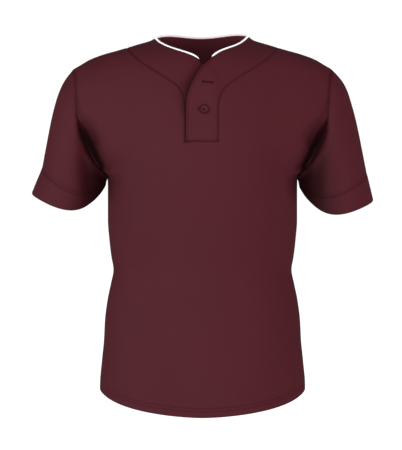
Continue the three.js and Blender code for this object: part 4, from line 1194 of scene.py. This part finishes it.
def button(name, place, lift):
    seat, left, up, out = seat_of(place, lift)
    height = curve_through(BUTTON_PROFILE["r"], BUTTON_PROFILE["height"])
    angle = np.linspace(0, 2 * np.pi, BUTTON_SIDES, endpoint=False)[None]
    face_rings = [np.linspace(0.02, 4, 22), np.linspace(4.4, 8.8, 14), [9.1, 9.35, BUTTON_RADIUS]]
    r = np.concatenate(face_rings)[:, None]
    x, y = r * np.cos(angle), r * np.sin(angle)
    rise = height(r) + 0 * angle
    for hole_x in (-HOLE_SPREAD, HOLE_SPREAD):
        for hole_y in (-HOLE_SPREAD, HOLE_SPREAD):
            away = np.hypot(x - hole_x, y - hole_y)
            rise -= HOLE_DEPTH * (1 - smooth(away, HOLE_RADIUS - HOLE_EDGE, HOLE_RADIUS + HOLE_EDGE))
    under_r = BUTTON_UNDERSIDE["r"][:, None]
    under_x, under_y = under_r * np.cos(angle), under_r * np.sin(angle)
    under_rise = BUTTON_UNDERSIDE["height"][:, None] + 0 * angle
    x, y, rise = (np.concatenate(pair) for pair in ((x, under_x), (y, under_y), (rise, under_rise)))
    points = seat + x[..., None] * left + y[..., None] * up + rise[..., None] * out
    rows = len(points)
    index = np.arange(rows * BUTTON_SIDES).reshape(rows, BUTTON_SIDES)
    wide = np.concatenate([index, index[:, :1]], 1)
    quads = np.stack([wide[:-1, :-1], wide[1:, :-1], wide[1:, 1:], wide[:-1, 1:]], -1).reshape(-1, 4)
    faces = quads.tolist() + [index[0].tolist(), index[-1, ::-1].tolist()]
    mesh = bpy.data.meshes.new(name)
    mesh.from_pydata((points.reshape(-1, 3) * MM).tolist(), [], faces)
    # A painted shade darkens a ring round the rim and the middle among the holes.
    from_middle = np.hypot(x, y)
    rim_painted_shade = bell(from_middle - BUTTON_PAINTED_SHADE["ring"], BUTTON_PAINTED_SHADE["ring_width"])
    shade = np.clip(rim_painted_shade + bell(from_middle, BUTTON_PAINTED_SHADE["middle"]), 0, 1)
    mesh.attributes.new("seam", "FLOAT", "POINT").data.foreach_set("value", shade.ravel())
    mesh.shade_smooth()
    print(name, len(faces), "faces, turned to", [round(n, 2) for n in out])
    return add_object(name, mesh)


lower_button = button("button_lower_moulded", LOWER_BUTTON, top_placket_lift)
top_button = button("button_top_moulded", TOP_BUTTON, under_placket_lift)

# %% [markdown]
# Stitches are the best use of Geometry Nodes here: thousands of small threads that follow lines. One tree
# spaces points along a curve and puts a short lock stitch on each, turned to the curve's direction and
# varied a little by a fixed seed. A second tree runs a thread along a path, for the satin stitches of the
# buttonholes and the thread through the button.

# %% Build the trees for stitches and threads
def add_node(tree, kind, **values):
    made = tree.nodes.new(kind)
    for name, value in values.items():
        setattr(made, name, value)
    return made


def new_tree(name, inputs):
    tree = bpy.data.node_groups.new(name, "GeometryNodeTree")
    tree.interface.new_socket("Geometry", in_out="INPUT", socket_type="NodeSocketGeometry")
    for socket, kind in inputs:
        tree.interface.new_socket(socket, in_out="INPUT", socket_type=kind)
    tree.interface.new_socket("Geometry", in_out="OUTPUT", socket_type="NodeSocketGeometry")
    return tree, add_node(tree, "NodeGroupInput").outputs, add_node(tree, "NodeGroupOutput").inputs


def stitch_tree():
    tree, given, result = new_tree("lock_stitches", [
        ("Pitch", "NodeSocketFloat"), ("Stitch Length", "NodeSocketFloat"), ("Thread", "NodeSocketFloat"),
        ("Variation", "NodeSocketFloat"), ("Seed", "NodeSocketInt"), ("Material", "NodeSocketMaterial"),
    ])
    link = tree.links.new
    spacing = add_node(tree, "GeometryNodeResampleCurve", mode="LENGTH")
    link(given["Geometry"], spacing.inputs["Curve"])
    link(given["Pitch"], spacing.inputs["Length"])
    stitch = add_node(tree, "GeometryNodeMeshUVSphere")
    stitch.inputs["Segments"].default_value = 6
    stitch.inputs["Rings"].default_value = 4
    stitch.inputs["Radius"].default_value = 0.5
    tangent = add_node(tree, "GeometryNodeInputTangent")
    turn = add_node(tree, "FunctionNodeAlignRotationToVector", axis="X")
    link(tangent.outputs["Tangent"], turn.inputs["Vector"])
    vary = add_node(tree, "FunctionNodeRandomValue", data_type="FLOAT")
    least = add_node(tree, "ShaderNodeMath", operation="SUBTRACT")
    most = add_node(tree, "ShaderNodeMath", operation="ADD")
    least.inputs[0].default_value = 1.0
    most.inputs[0].default_value = 1.0
    link(given["Variation"], least.inputs[1])
    link(given["Variation"], most.inputs[1])
    low = next(s for s in vary.inputs if s.name == "Min" and s.type == "VALUE")
    high = next(s for s in vary.inputs if s.name == "Max" and s.type == "VALUE")
    link(least.outputs[0], low)
    link(most.outputs[0], high)
    link(given["Seed"], vary.inputs["Seed"])
    varied = next(s for s in vary.outputs if s.type == "VALUE")
    length = add_node(tree, "ShaderNodeMath", operation="MULTIPLY")
    link(given["Stitch Length"], length.inputs[0])
    link(varied, length.inputs[1])
    size = add_node(tree, "ShaderNodeCombineXYZ")
    link(length.outputs[0], size.inputs["X"])
    link(given["Thread"], size.inputs["Y"])
    link(given["Thread"], size.inputs["Z"])
    place = add_node(tree, "GeometryNodeInstanceOnPoints")
    link(spacing.outputs["Curve"], place.inputs["Points"])
    link(stitch.outputs["Mesh"], place.inputs["Instance"])
    link(turn.outputs["Rotation"], place.inputs["Rotation"])
    link(size.outputs["Vector"], place.inputs["Scale"])
    real = add_node(tree, "GeometryNodeRealizeInstances")
    link(place.outputs["Instances"], real.inputs["Geometry"])
    finish = add_node(tree, "GeometryNodeSetMaterial")
    link(real.outputs["Geometry"], finish.inputs["Geometry"])
    link(given["Material"], finish.inputs["Material"])
    link(finish.outputs["Geometry"], result["Geometry"])
    return tree


def thread_tree():
    tree, given, result = new_tree("thread_along_path", [
        ("Thread", "NodeSocketFloat"), ("Material", "NodeSocketMaterial"),
    ])
    link = tree.links.new
    half = add_node(tree, "ShaderNodeMath", operation="MULTIPLY")
    half.inputs[1].default_value = 0.5
    link(given["Thread"], half.inputs[0])
    ring = add_node(tree, "GeometryNodeCurvePrimitiveCircle", mode="RADIUS")
    ring.inputs["Resolution"].default_value = 6
    link(half.outputs[0], ring.inputs["Radius"])
    sweep = add_node(tree, "GeometryNodeCurveToMesh")
    sweep.inputs["Fill Caps"].default_value = True
    link(given["Geometry"], sweep.inputs["Curve"])
    link(ring.outputs["Curve"], sweep.inputs["Profile Curve"])
    real = add_node(tree, "GeometryNodeRealizeInstances")
    link(sweep.outputs["Mesh"], real.inputs["Geometry"])
    soft = add_node(tree, "GeometryNodeSetShadeSmooth")
    link(real.outputs["Geometry"], soft.inputs["Geometry"])
    finish = add_node(tree, "GeometryNodeSetMaterial")
    link(soft.outputs["Geometry"], finish.inputs["Geometry"])
    link(given["Material"], finish.inputs["Material"])
    link(finish.outputs["Geometry"], result["Geometry"])
    return tree


def from_paths(name, paths, tree, values):
    """Runs a tree on a set of paths, in millimetres, and gives the result as a plain mesh object."""
    data = bpy.data.curves.new(name + "_paths", "CURVE")
    data.dimensions = "3D"
    for path in paths:
        spline = data.splines.new("POLY")
        spline.points.add(len(path) - 1)
        spline.points.foreach_set("co", np.column_stack([path * MM, np.ones(len(path))]).ravel())
    guide = add_object(name + "_guide", data)
    modifier = guide.modifiers.new(tree.name, "NODES")
    modifier.node_group = tree
    for item in tree.interface.items_tree:
        if item.in_out == "INPUT" and item.name in values:
            modifier[item.identifier] = values[item.name]
    evaluated = guide.evaluated_get(bpy.context.evaluated_depsgraph_get())
    mesh = bpy.data.meshes.new_from_object(evaluated)
    mesh.name = name
    bpy.data.objects.remove(guide)
    print(name, len(mesh.polygons), "faces on", len(paths), "lines")
    return add_object(name, mesh)


lock_stitches, thread_along_path = stitch_tree(), thread_tree()

# %% [markdown]
# Close up, this is a smooth interlock knit: fine upright columns of small V-shaped loops about a millimetre
# wide. The dye is even, and a painted shade makes it a little deeper at its seams. Three groups hold what the
# materials share: the loops, a soft cloudiness, and the painted shade at a seam.

# %% Build the groups that the materials share
def new_group(name, inputs, outputs):
    tree = bpy.data.node_groups.new(name, "ShaderNodeTree")
    for socket, kind, value in inputs:
        made = tree.interface.new_socket(socket, in_out="INPUT", socket_type=kind)
        if value is not None:
            made.default_value = value
    for socket, kind in outputs:
        tree.interface.new_socket(socket, in_out="OUTPUT", socket_type=kind)
    return tree, add_node(tree, "NodeGroupInput").outputs, add_node(tree, "NodeGroupOutput").inputs


def math_chain(tree, operation, first, second=None):
    made = add_node(tree, "ShaderNodeMath", operation=operation)
    for socket, value in zip(made.inputs, (first, second)):
        if isinstance(value, (int, float)):
            socket.default_value = value
        elif value is not None:
            tree.links.new(value, socket)
    return made.outputs[0]


def knit_loops():
    """Height of a knit: V-shaped loops in columns. Wales and Courses are how many go to a metre."""
    tree, given, result = new_group(
        "knit_loops",
        [("Vector", "NodeSocketVector", None), ("Wales", "NodeSocketFloat", 900.0),
         ("Courses", "NodeSocketFloat", 1100.0)],
        [("Height", "NodeSocketFloat")],
    )
    parts = add_node(tree, "ShaderNodeSeparateXYZ")
    tree.links.new(given["Vector"], parts.inputs[0])
    across = math_chain(tree, "MULTIPLY", parts.outputs["X"], given["Wales"])
    column = math_chain(tree, "FRACT", across)
    from_middle = math_chain(tree, "ABSOLUTE", math_chain(tree, "SUBTRACT", column, 0.5))
    leg = math_chain(tree, "SINE", math_chain(tree, "MULTIPLY", column, 2 * math.pi))
    rounding = math_chain(tree, "ABSOLUTE", leg)
    down = math_chain(tree, "MULTIPLY", parts.outputs["Y"], given["Courses"])
    slanted = math_chain(tree, "ADD", down, math_chain(tree, "MULTIPLY", from_middle, 1.4))
    rows = math_chain(tree, "SINE", math_chain(tree, "MULTIPLY", slanted, 2 * math.pi))
    raised = math_chain(tree, "MULTIPLY", math_chain(tree, "ADD", rows, 1.0), 0.25)
    height = math_chain(tree, "ADD", raised, math_chain(tree, "MULTIPLY", rounding, 0.5))
    tree.links.new(height, result["Height"])
    return tree


def soft_cloud():
    """A faint unevenness: the colour between Deep and Light, and a number to vary the roughness by."""
    tree, given, result = new_group(
        "soft_cloud",
        [("Vector", "NodeSocketVector", None), ("Deep", "NodeSocketColor", (0, 0, 0, 1)),
         ("Light", "NodeSocketColor", (1, 1, 1, 1)), ("Size", "NodeSocketFloat", 9.0),
         ("Least Roughness", "NodeSocketFloat", 0.6), ("Most Roughness", "NodeSocketFloat", 0.7)],
        [("Color", "NodeSocketColor"), ("Roughness", "NodeSocketFloat"), ("Cloud", "NodeSocketFloat")],
    )
    noise = add_node(tree, "ShaderNodeTexNoise")
    noise.inputs["Detail"].default_value = 4.0
    noise.inputs["Roughness"].default_value = 0.55
    tree.links.new(given["Vector"], noise.inputs["Vector"])
    tree.links.new(given["Size"], noise.inputs["Scale"])
    spread = add_node(tree, "ShaderNodeMapRange")
    spread.inputs["From Min"].default_value = 0.3
    spread.inputs["From Max"].default_value = 0.7
    tree.links.new(noise.outputs["Fac"], spread.inputs["Value"])
    mix = add_node(tree, "ShaderNodeMix", data_type="RGBA")
    tree.links.new(spread.outputs["Result"], mix.inputs["Factor"])
    colours = [s for s in mix.inputs if s.type == "RGBA"]
    tree.links.new(given["Deep"], colours[0])
    tree.links.new(given["Light"], colours[1])
    tree.links.new(next(s for s in mix.outputs if s.type == "RGBA"), result["Color"])
    rough = add_node(tree, "ShaderNodeMapRange")
    tree.links.new(noise.outputs["Fac"], rough.inputs["Value"])
    tree.links.new(given["Least Roughness"], rough.inputs["To Min"])
    tree.links.new(given["Most Roughness"], rough.inputs["To Max"])
    tree.links.new(rough.outputs["Result"], result["Roughness"])
    tree.links.new(noise.outputs["Fac"], result["Cloud"])
    return tree


def painted_shade_tree():
    """Paints shade into a colour: deepens it towards a redder shade of it where the mask at Seam is high, by
    at most Amount.
    """
    tree, given, result = new_group(
        "painted_shade_tree",
        [("Color", "NodeSocketColor", (1, 1, 1, 1)), ("Seam", "NodeSocketFloat", 0.0),
         ("Amount", "NodeSocketFloat", 0.6), ("Tint", "NodeSocketColor", (0.5, 0.2, 0.25, 1))],
        [("Color", "NodeSocketColor")],
    )
    deepened = add_node(tree, "ShaderNodeVectorMath", operation="MULTIPLY")
    tree.links.new(given["Color"], deepened.inputs[0])
    tree.links.new(given["Tint"], deepened.inputs[1])
    mix = add_node(tree, "ShaderNodeMix", data_type="RGBA")
    tree.links.new(math_chain(tree, "MULTIPLY", given["Seam"], given["Amount"]), mix.inputs["Factor"])
    colours = [s for s in mix.inputs if s.type == "RGBA"]
    tree.links.new(given["Color"], colours[0])
    tree.links.new(deepened.outputs["Vector"], colours[1])
    tree.links.new(next(s for s in mix.outputs if s.type == "RGBA"), result["Color"])
    return tree


loops_group, cloud_group, group_of_painted_shade = knit_loops(), soft_cloud(), painted_shade_tree()
print("shared groups:", loops_group.name, cloud_group.name, group_of_painted_shade.name)

# %% [markdown]
# Each material sets its own Principled shader and feeds it from the groups. The knit is matt with a faint
# sheen from its fibre ends, and takes both masks of painted shade. The piping is a smoother satin with a
# faint painted glow, which a painted shade dims towards the back. The button is a half gloss plastic with a
# slight swirl and a painted shade round its rim and in its middle, and the thread a twisted polyester a
# little redder than the cloth.

# %% Mix the materials
def group_node(tree, group, **values):
    made = tree.nodes.new("ShaderNodeGroup")
    made.node_tree = group
    for name, value in values.items():
        made.inputs[name.replace("_", " ")].default_value = value
    return made


def new_material(name, sockets):
    material = bpy.data.materials.new(name)
    material.use_nodes = True
    shader = material.node_tree.nodes["Principled BSDF"]
    for socket, value in sockets.items():
        shader.inputs[socket].default_value = value
    return material, material.node_tree, shader


# The colours that full painted shade deepens the knit towards: redder at the seams, darker in the folds.
SEAM_PAINTED_TINT = (0.5, 0.2, 0.25, 1)
DEEP_PAINTED_TINT = (0.22, 0.13, 0.15, 1)


def feed(tree, shader, cloud, height, distance, strength, seam_painted_amount=0.0, deep_painted_amount=0.0):
    place = add_node(tree, "ShaderNodeTexCoord")
    tree.links.new(place.outputs["Object"], cloud.inputs["Vector"])
    colour = cloud.outputs["Color"]
    # Each mask paints shade into the base colour.
    shades = [("seam", seam_painted_amount, SEAM_PAINTED_TINT), ("deep", deep_painted_amount, DEEP_PAINTED_TINT)]
    for attribute, amount, tint in shades:
        if not amount:
            continue
        mask = add_node(tree, "ShaderNodeAttribute", attribute_name=attribute)
        shade = group_node(tree, group_of_painted_shade, Amount=amount, Tint=tint)
        tree.links.new(colour, shade.inputs["Color"])
        tree.links.new(mask.outputs["Fac"], shade.inputs["Seam"])
        colour = shade.outputs["Color"]
    tree.links.new(colour, shader.inputs["Base Color"])
    tree.links.new(cloud.outputs["Roughness"], shader.inputs["Roughness"])
    bump = add_node(tree, "ShaderNodeBump")
    bump.inputs["Strength"].default_value = strength
    bump.inputs["Distance"].default_value = distance
    tree.links.new(height, bump.inputs["Height"])
    tree.links.new(bump.outputs["Normal"], shader.inputs["Normal"])


def loops_of(tree, wales, courses):
    uv = add_node(tree, "ShaderNodeUVMap", uv_map="cloth")
    made = group_node(tree, loops_group, Wales=wales, Courses=courses)
    tree.links.new(uv.outputs["UV"], made.inputs["Vector"])
    return made.outputs["Height"]


def maroon_knit():
    material, tree, shader = new_material("maroon_knit", {
        "Specular IOR Level": 0.1, "Sheen Weight": 0.01, "Sheen Roughness": 0.5,
        "Sheen Tint": (0.9, 0.7, 0.72, 1),
    })
    cloud = group_node(tree, cloud_group, Deep=(0.069, 0.0112, 0.0168, 1), Light=(0.074, 0.0124, 0.0185, 1),
                       Size=7.0, Least_Roughness=0.62, Most_Roughness=0.72)
    feed(tree, shader, cloud, loops_of(tree, 900, 1100), 0.0003, 0.25, seam_painted_amount=0.9, deep_painted_amount=1.0)
    return material


def satin_with_painted_glow():
    # The piping has a faint painted glow, so that it stays white under any light.
    material, tree, shader = new_material("satin_with_painted_glow", {
        "Specular IOR Level": 0.5, "Sheen Weight": 0.1, "Emission Strength": 0.3,
    })
    cloud = group_node(tree, cloud_group, Deep=(0.93, 0.9, 0.9, 1), Light=(0.97, 0.95, 0.95, 1), Size=60.0,
                       Least_Roughness=0.4, Most_Roughness=0.5)
    feed(tree, shader, cloud, loops_of(tree, 1600, 2200), 0.00015, 0.2, seam_painted_amount=0.15)
    # A painted shade dims the glow towards the back of the neck.
    glow = group_node(tree, group_of_painted_shade, Color=(1, 0.97, 0.97, 1), Amount=1.0, Tint=(0.4, 0.2, 0.2, 1))
    behind = add_node(tree, "ShaderNodeAttribute", attribute_name="seam")
    tree.links.new(behind.outputs["Fac"], glow.inputs["Seam"])
    tree.links.new(glow.outputs["Color"], shader.inputs["Emission Color"])
    return material


def maroon_thread():
    material, tree, shader = new_material("maroon_thread", {
        "Specular IOR Level": 0.06, "Sheen Weight": 0.02,
    })
    cloud = group_node(tree, cloud_group, Deep=(0.062, 0.0065, 0.0105, 1), Light=(0.075, 0.0085, 0.013, 1),
                       Size=400.0, Least_Roughness=0.5, Most_Roughness=0.62)
    feed(tree, shader, cloud, cloud.outputs["Cloud"], 0.0002, 0.4)
    return material


def maroon_button():
    material, tree, shader = new_material("maroon_button", {"Specular IOR Level": 0.12})
    cloud = group_node(tree, cloud_group, Deep=(0.066, 0.0108, 0.0162, 1), Light=(0.074, 0.0126, 0.0186, 1),
                       Size=120.0, Least_Roughness=0.46, Most_Roughness=0.55)
    # The button's mask paints its shade at full strength.
    feed(tree, shader, cloud, cloud.outputs["Cloud"], 0.0001, 0.15, seam_painted_amount=1.0)
    return material


knit, satin, thread, plastic = maroon_knit(), satin_with_painted_glow(), maroon_thread(), maroon_button()
for piece in (front_cloth, back_cloth, yoke_left, yoke_right):
    piece.data.materials.append(knit)
for piece in (sleeve_left, band_left, sleeve_right, band_right):
    piece.data.materials.append(knit)
piping.data.materials.append(satin)
for piece in (lower_button, top_button):
    piece.data.materials.append(plastic)
print("materials:", [m.name for m in (knit, satin, thread, plastic)])

# %% [markdown]
# The hem is held by two rows of stitches. A row runs on each side of a band's seam and one beside the yoke
# seam. The top placket has one 3 mm inside its edge and one across its foot. Each row is a line on the
# cloth, found with the same functions that made the cloth.

# %% Sew the rows of stitches
STITCH_PITCH, STITCH_LENGTH, THREAD = 2.9, 2.5, 0.55
THREAD_SINK = 0.3
STITCH_VARIATION, SEED = 0.08, 7
FOOT_ROW_INSET = 3


def body_row(offset, behind):
    turn = lerp(-np.pi / 2, np.pi / 2, np.linspace(0, 1, 200))
    turn = np.pi - turn if behind else turn
    z = hem_height(turn) + offset
    return body_point(turn, z) - body_normal(turn, z) * THREAD_SINK


def beside(places, offset, lift):
    """A row beside a line of places in the front view, offset to its left as the line runs."""
    run = np.gradient(places, axis=0)
    run /= np.linalg.norm(run, axis=1, keepdims=True)
    moved = places + offset * np.stack([-run[:, 1], run[:, 0]], -1)
    x, z = moved[:, 0], moved[:, 1]
    points, normals = cloth_at(x, z, lift=lift(x, z))
    return points - normals * THREAD_SINK


def sleeve_row(hand, rings, offset):
    t = lerp(BAND_RING - 2, LAST_RING, np.linspace(0, 1, 60))
    points, normals, _ = sleeve_skin(hand, rings, t)
    seam = np.argmin(np.abs(t - BAND_RING))
    proud = BAND_PROUD if offset > 0 else 0.0
    rows = []
    for column in range(points.shape[1]):
        line = points[:, column]
        run = length_along(line)
        at = run[seam] + offset
        normal = unit(np.stack([np.interp(at, run, normals[:, column, k]) for k in range(3)]))
        on_line = np.array([np.interp(at, run, line[:, k]) for k in range(3)])
        rows.append(on_line + normal * (proud - THREAD_SINK))
    return np.array(rows + rows[:1])


def sew(name, paths):
    return from_paths(name, paths, lock_stitches, {
        "Pitch": STITCH_PITCH * MM, "Stitch Length": STITCH_LENGTH * MM, "Thread": THREAD * MM,
        "Variation": STITCH_VARIATION, "Seed": SEED, "Material": thread,
    })


along_seam = np.linspace(0.004, 0.99, 160)
foot_half = float(yoke_half(PLACKET_BOTTOM)) - FOOT_ROW_INSET
foot_x = PLACKET_MIDDLE + lerp(foot_half, -foot_half, np.linspace(0, 1, 40))
foot = np.stack([foot_x, np.full(len(foot_x), PLACKET_BOTTOM + FOOT_STITCH)], -1)
edge_line = left_places[1:NECK_ROW, 0]
hem_paths = [body_row(row, behind) for row in HEM_STITCHES for behind in (False, True)]
hem_stitches = sew("stitches_hem", hem_paths)
yoke_left_stitches = sew("stitches_yoke_left", [
    beside(yoke_seam_places(1, along_seam), SEAM_STITCH, top_placket_lift),
    beside(edge_line, -EDGE_STITCH, top_placket_lift),
    beside(foot, 0.0, top_placket_lift),
])
yoke_right_stitches = sew("stitches_yoke_right", [
    beside(yoke_seam_places(-1, along_seam), -SEAM_STITCH, under_placket_lift),
])
sleeve_left_stitches = sew("stitches_sleeve_left", [sleeve_row(1, LEFT_RINGS, -SLEEVE_STITCH)])
band_left_stitches = sew("stitches_band_left", [sleeve_row(1, LEFT_RINGS, BAND_STITCH)])
sleeve_right_stitches = sew("stitches_sleeve_right", [sleeve_row(-1, RIGHT_RINGS, -SLEEVE_STITCH)])
band_right_stitches = sew("stitches_band_right", [sleeve_row(-1, RIGHT_RINGS, BAND_STITCH)])

# %% [markdown]
# A buttonhole is a slit with a satin stitch zigzagged round it. The top one shows whole, because its button
# is not fastened. The lower one lies under its button and only its end peeps out.

# %% Work the buttonholes and sew on the buttons
BUTTONHOLE_LENGTH, BUTTONHOLE_WIDTH = 24.0, 2.2
BUTTONHOLE_THREAD, BUTTON_THREAD = 0.5, 0.42
BUTTONHOLE_POINTS, SIDE_STRETCH = 150, 1.15
NEAR_SLIT, END_ROUNDING = 0.35, 1.4
SLIT_HALF, SLIT_THICK, SLIT_SINK = 0.5, 0.25, 0.1
SATIN_RISE = 0.15
STRAND_GAP, STRAND_LOW, STRAND_ARCH = 0.28, 0.95, 1.05
TOP_BUTTONHOLE = dict(place=(10.0, -96.0), tilt=math.radians(-5))
LOWER_BUTTONHOLE = dict(place=(1.4, -147.5), tilt=0.0)


def on_placket(x, z, above):
    points, normals = cloth_at(x, z, lift=top_placket_lift(x, z))
    return points + normals * above


def buttonhole_places(hole, along, away):
    (x, z), tilt = hole["place"], hole["tilt"]
    across, upward = math.cos(tilt), math.sin(tilt)
    return x + along * across - away * upward, z + along * upward + away * across


def buttonhole(hole):
    """The zigzag path of the satin stitch: out to the far edge and back beside the slit, all round."""
    half = BUTTONHOLE_LENGTH / 2
    angle = np.linspace(0, 2 * np.pi, BUTTONHOLE_POINTS, endpoint=False)
    along = np.clip(np.cos(angle) * SIDE_STRETCH, -1, 1) * (half - 1)
    side_of = np.sign(np.sin(angle))
    near_far = np.where(np.arange(BUTTONHOLE_POINTS) % 2 == 0, NEAR_SLIT, BUTTONHOLE_WIDTH)
    rounded_end = np.clip((half - np.abs(along)) / END_ROUNDING, 0.35, 1)
    x, z = buttonhole_places(hole, along, side_of * near_far * rounded_end)
    return on_placket(x, z, SATIN_RISE)


# A thin strip in the thread's colour lies along each cut, standing for the shadow in its gap.
def slit(name, hole):
    count = 40
    s = np.linspace(-1, 1, count)
    middle_x, middle_z = buttonhole_places(hole, s * (BUTTONHOLE_LENGTH / 2 - END_ROUNDING), 0 * s)
    middles = on_placket(middle_x, middle_z, -SLIT_SINK)
    ups = np.tile([0.0, 0.0, 1.0], (count, 1))
    half = SLIT_HALF * np.sqrt(np.clip(1 - s**4, 0.02, 1))
    return swept_tube(name, middles, ups, half, np.full(count, SLIT_THICK), 8)


def button_thread(place, lift):
    """Two parallel bars of thread through the four holes, three strands each."""
    seat, left, up, out = seat_of(place, lift)
    paths = []
    for side_of in (-1, 1):
        for strand in (-STRAND_GAP, 0.0, STRAND_GAP):
            s = np.linspace(-1, 1, 12)[:, None]
            across = (side_of * HOLE_SPREAD + strand) * left
            along = s * HOLE_SPREAD * up
            height = (STRAND_LOW + STRAND_ARCH * np.sqrt(np.clip(1 - s**4, 0, 1))) * out
            paths.append(seat + across + along + height)
    return paths


def run_thread(name, paths, thickness):
    return from_paths(name, paths, thread_along_path, {"Thread": thickness * MM, "Material": thread})


satin_paths = [buttonhole(TOP_BUTTONHOLE), buttonhole(LOWER_BUTTONHOLE)]
bar_paths = button_thread(LOWER_BUTTON, top_placket_lift) + button_thread(TOP_BUTTON, under_placket_lift)
buttonhole_stitches = run_thread("stitches_buttonholes", satin_paths, BUTTONHOLE_THREAD)
button_threads = run_thread("button_threads", bar_paths, BUTTON_THREAD)
slits = [slit("buttonhole_slit_shadow_top", TOP_BUTTONHOLE), slit("buttonhole_slit_shadow_lower", LOWER_BUTTONHOLE)]
for piece in slits:
    piece.data.materials.append(thread)

# %% [markdown]
# The light is a plain photographic studio: a large soft light near the camera and a fill at each side, so
# that the front is nearly even and the sides fall off gently, a soft light behind, and a weak even fill
# from the room. The floor is pale and far below, where a wearer's feet would be, and blends into a white
# room. Each light has a place, a size in metres, a power in watts, and whether its glint shows.

# %% Light the studio
FLOOR_HEIGHT = -1.45
ROOM_FILL, ROOM_SEEN = 0.12, 1.05
FLOOR_GLOW = 1.1
LIGHTS_AIM = (0, 0, -0.35)
STUDIO_LIGHTS = [
    ("front_softbox", (-0.3, -4.4, 0.3), (1.8, 1.8), 86, True),
    ("left_fill", (-3.6, -2.2, 0.3), (1.4, 2.0), 103, True),
    ("right_fill", (3.6, -2.2, 0.3), (1.4, 2.0), 103, False),
    ("back_softbox", (0.6, 4.2, 0.8), (2.4, 2.4), 125, False),
]


def area_light(name, place, size, power, shines):
    data = bpy.data.lights.new(name, "AREA")
    data.shape = "RECTANGLE"
    data.size, data.size_y = size
    data.energy = power
    made = add_object(name, data)
    made.location = place
    away = np.array(place) - np.array(LIGHTS_AIM)
    flat = math.hypot(away[0], away[1])
    made.rotation_euler = (math.atan2(flat, away[2]), 0, math.atan2(away[0], -away[1]))
    made.visible_glossy = shines


for light in STUDIO_LIGHTS:
    area_light(*light)


def white_room():
    world = bpy.data.worlds.new("white_room")
    bpy.context.scene.world = world
    world.use_nodes = True
    tree = world.node_tree
    seen = tree.nodes["Background"]
    seen.inputs["Color"].default_value = (1, 1, 1, 1)
    seen.inputs["Strength"].default_value = ROOM_SEEN
    fill = add_node(tree, "ShaderNodeBackground")
    fill.inputs["Color"].default_value = (1, 1, 1, 1)
    fill.inputs["Strength"].default_value = ROOM_FILL
    path = add_node(tree, "ShaderNodeLightPath")
    mix = add_node(tree, "ShaderNodeMixShader")
    tree.links.new(path.outputs["Is Camera Ray"], mix.inputs["Fac"])
    tree.links.new(fill.outputs["Background"], mix.inputs[1])
    tree.links.new(seen.outputs["Background"], mix.inputs[2])
    tree.links.new(mix.outputs["Shader"], tree.nodes["World Output"].inputs["Surface"])


def pale_floor():
    mesh = bpy.data.meshes.new("floor")
    sides, radius = 96, 60.0
    turns = [2 * math.pi * k / sides for k in range(sides)]
    ring = [(radius * math.cos(turn), radius * math.sin(turn), FLOOR_HEIGHT) for turn in turns]
    mesh.from_pydata(ring, [], [list(range(sides))])
    floor = add_object("floor", mesh)
    material, tree, shader = new_material("pale_floor", {
        "Base Color": (0.5, 0.5, 0.5, 1), "Roughness": 0.9, "Specular IOR Level": 0.1,
        "Emission Color": (1, 1, 1, 1),
    })
    path = add_node(tree, "ShaderNodeLightPath")
    glow = math_chain(tree, "MULTIPLY", path.outputs["Is Camera Ray"], FLOOR_GLOW)
    tree.links.new(glow, shader.inputs["Emission Strength"])
    mesh.materials.append(material)


white_room()
pale_floor()
bpy.context.scene.view_settings.view_transform = "Standard"

# %% [markdown]
# Last, each piece is tied to the imported model: it rides on the one body, and its node is hidden.

# %% Tie the pieces to the imported model
CLOTH_PIECES = [
    (front_cloth, "front_panel", (0.60, 0.74), 0.35, [hem_stitches]),
    (back_cloth, "back_panel", (0.64, 0.77), 0.38, []),
    (yoke_left, "neck_yoke_left_top_placket", (0.14, 0.24), 0.0195,
     [yoke_left_stitches, buttonhole_stitches, *slits]),
    (yoke_right, "neck_yoke_right_under_placket", (0.14, 0.24), 0.019, [yoke_right_stitches]),
    (sleeve_left, "sleeve_left", (0.43, 0.2), 0.057, [sleeve_left_stitches]),
    (band_left, "sleeve_band_left", (0.44, 0.036), None, [band_left_stitches]),
    (sleeve_right, "sleeve_right", (0.43, 0.19), 0.052, [sleeve_right_stitches]),
    (band_right, "sleeve_band_right", (0.44, 0.036), None, [band_right_stitches]),
]
for piece, node, flat, area, on_it in CLOTH_PIECES:
    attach(piece, "root")
    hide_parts(node)
    for small in on_it:
        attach(small, "root")
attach(piping, "root")
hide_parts("neck_piping")
for piece, node in ((lower_button, "button_lower"), (top_button, "button_top_unfastened")):
    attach(piece, "root")
    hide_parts(node)
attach(button_threads, "root")
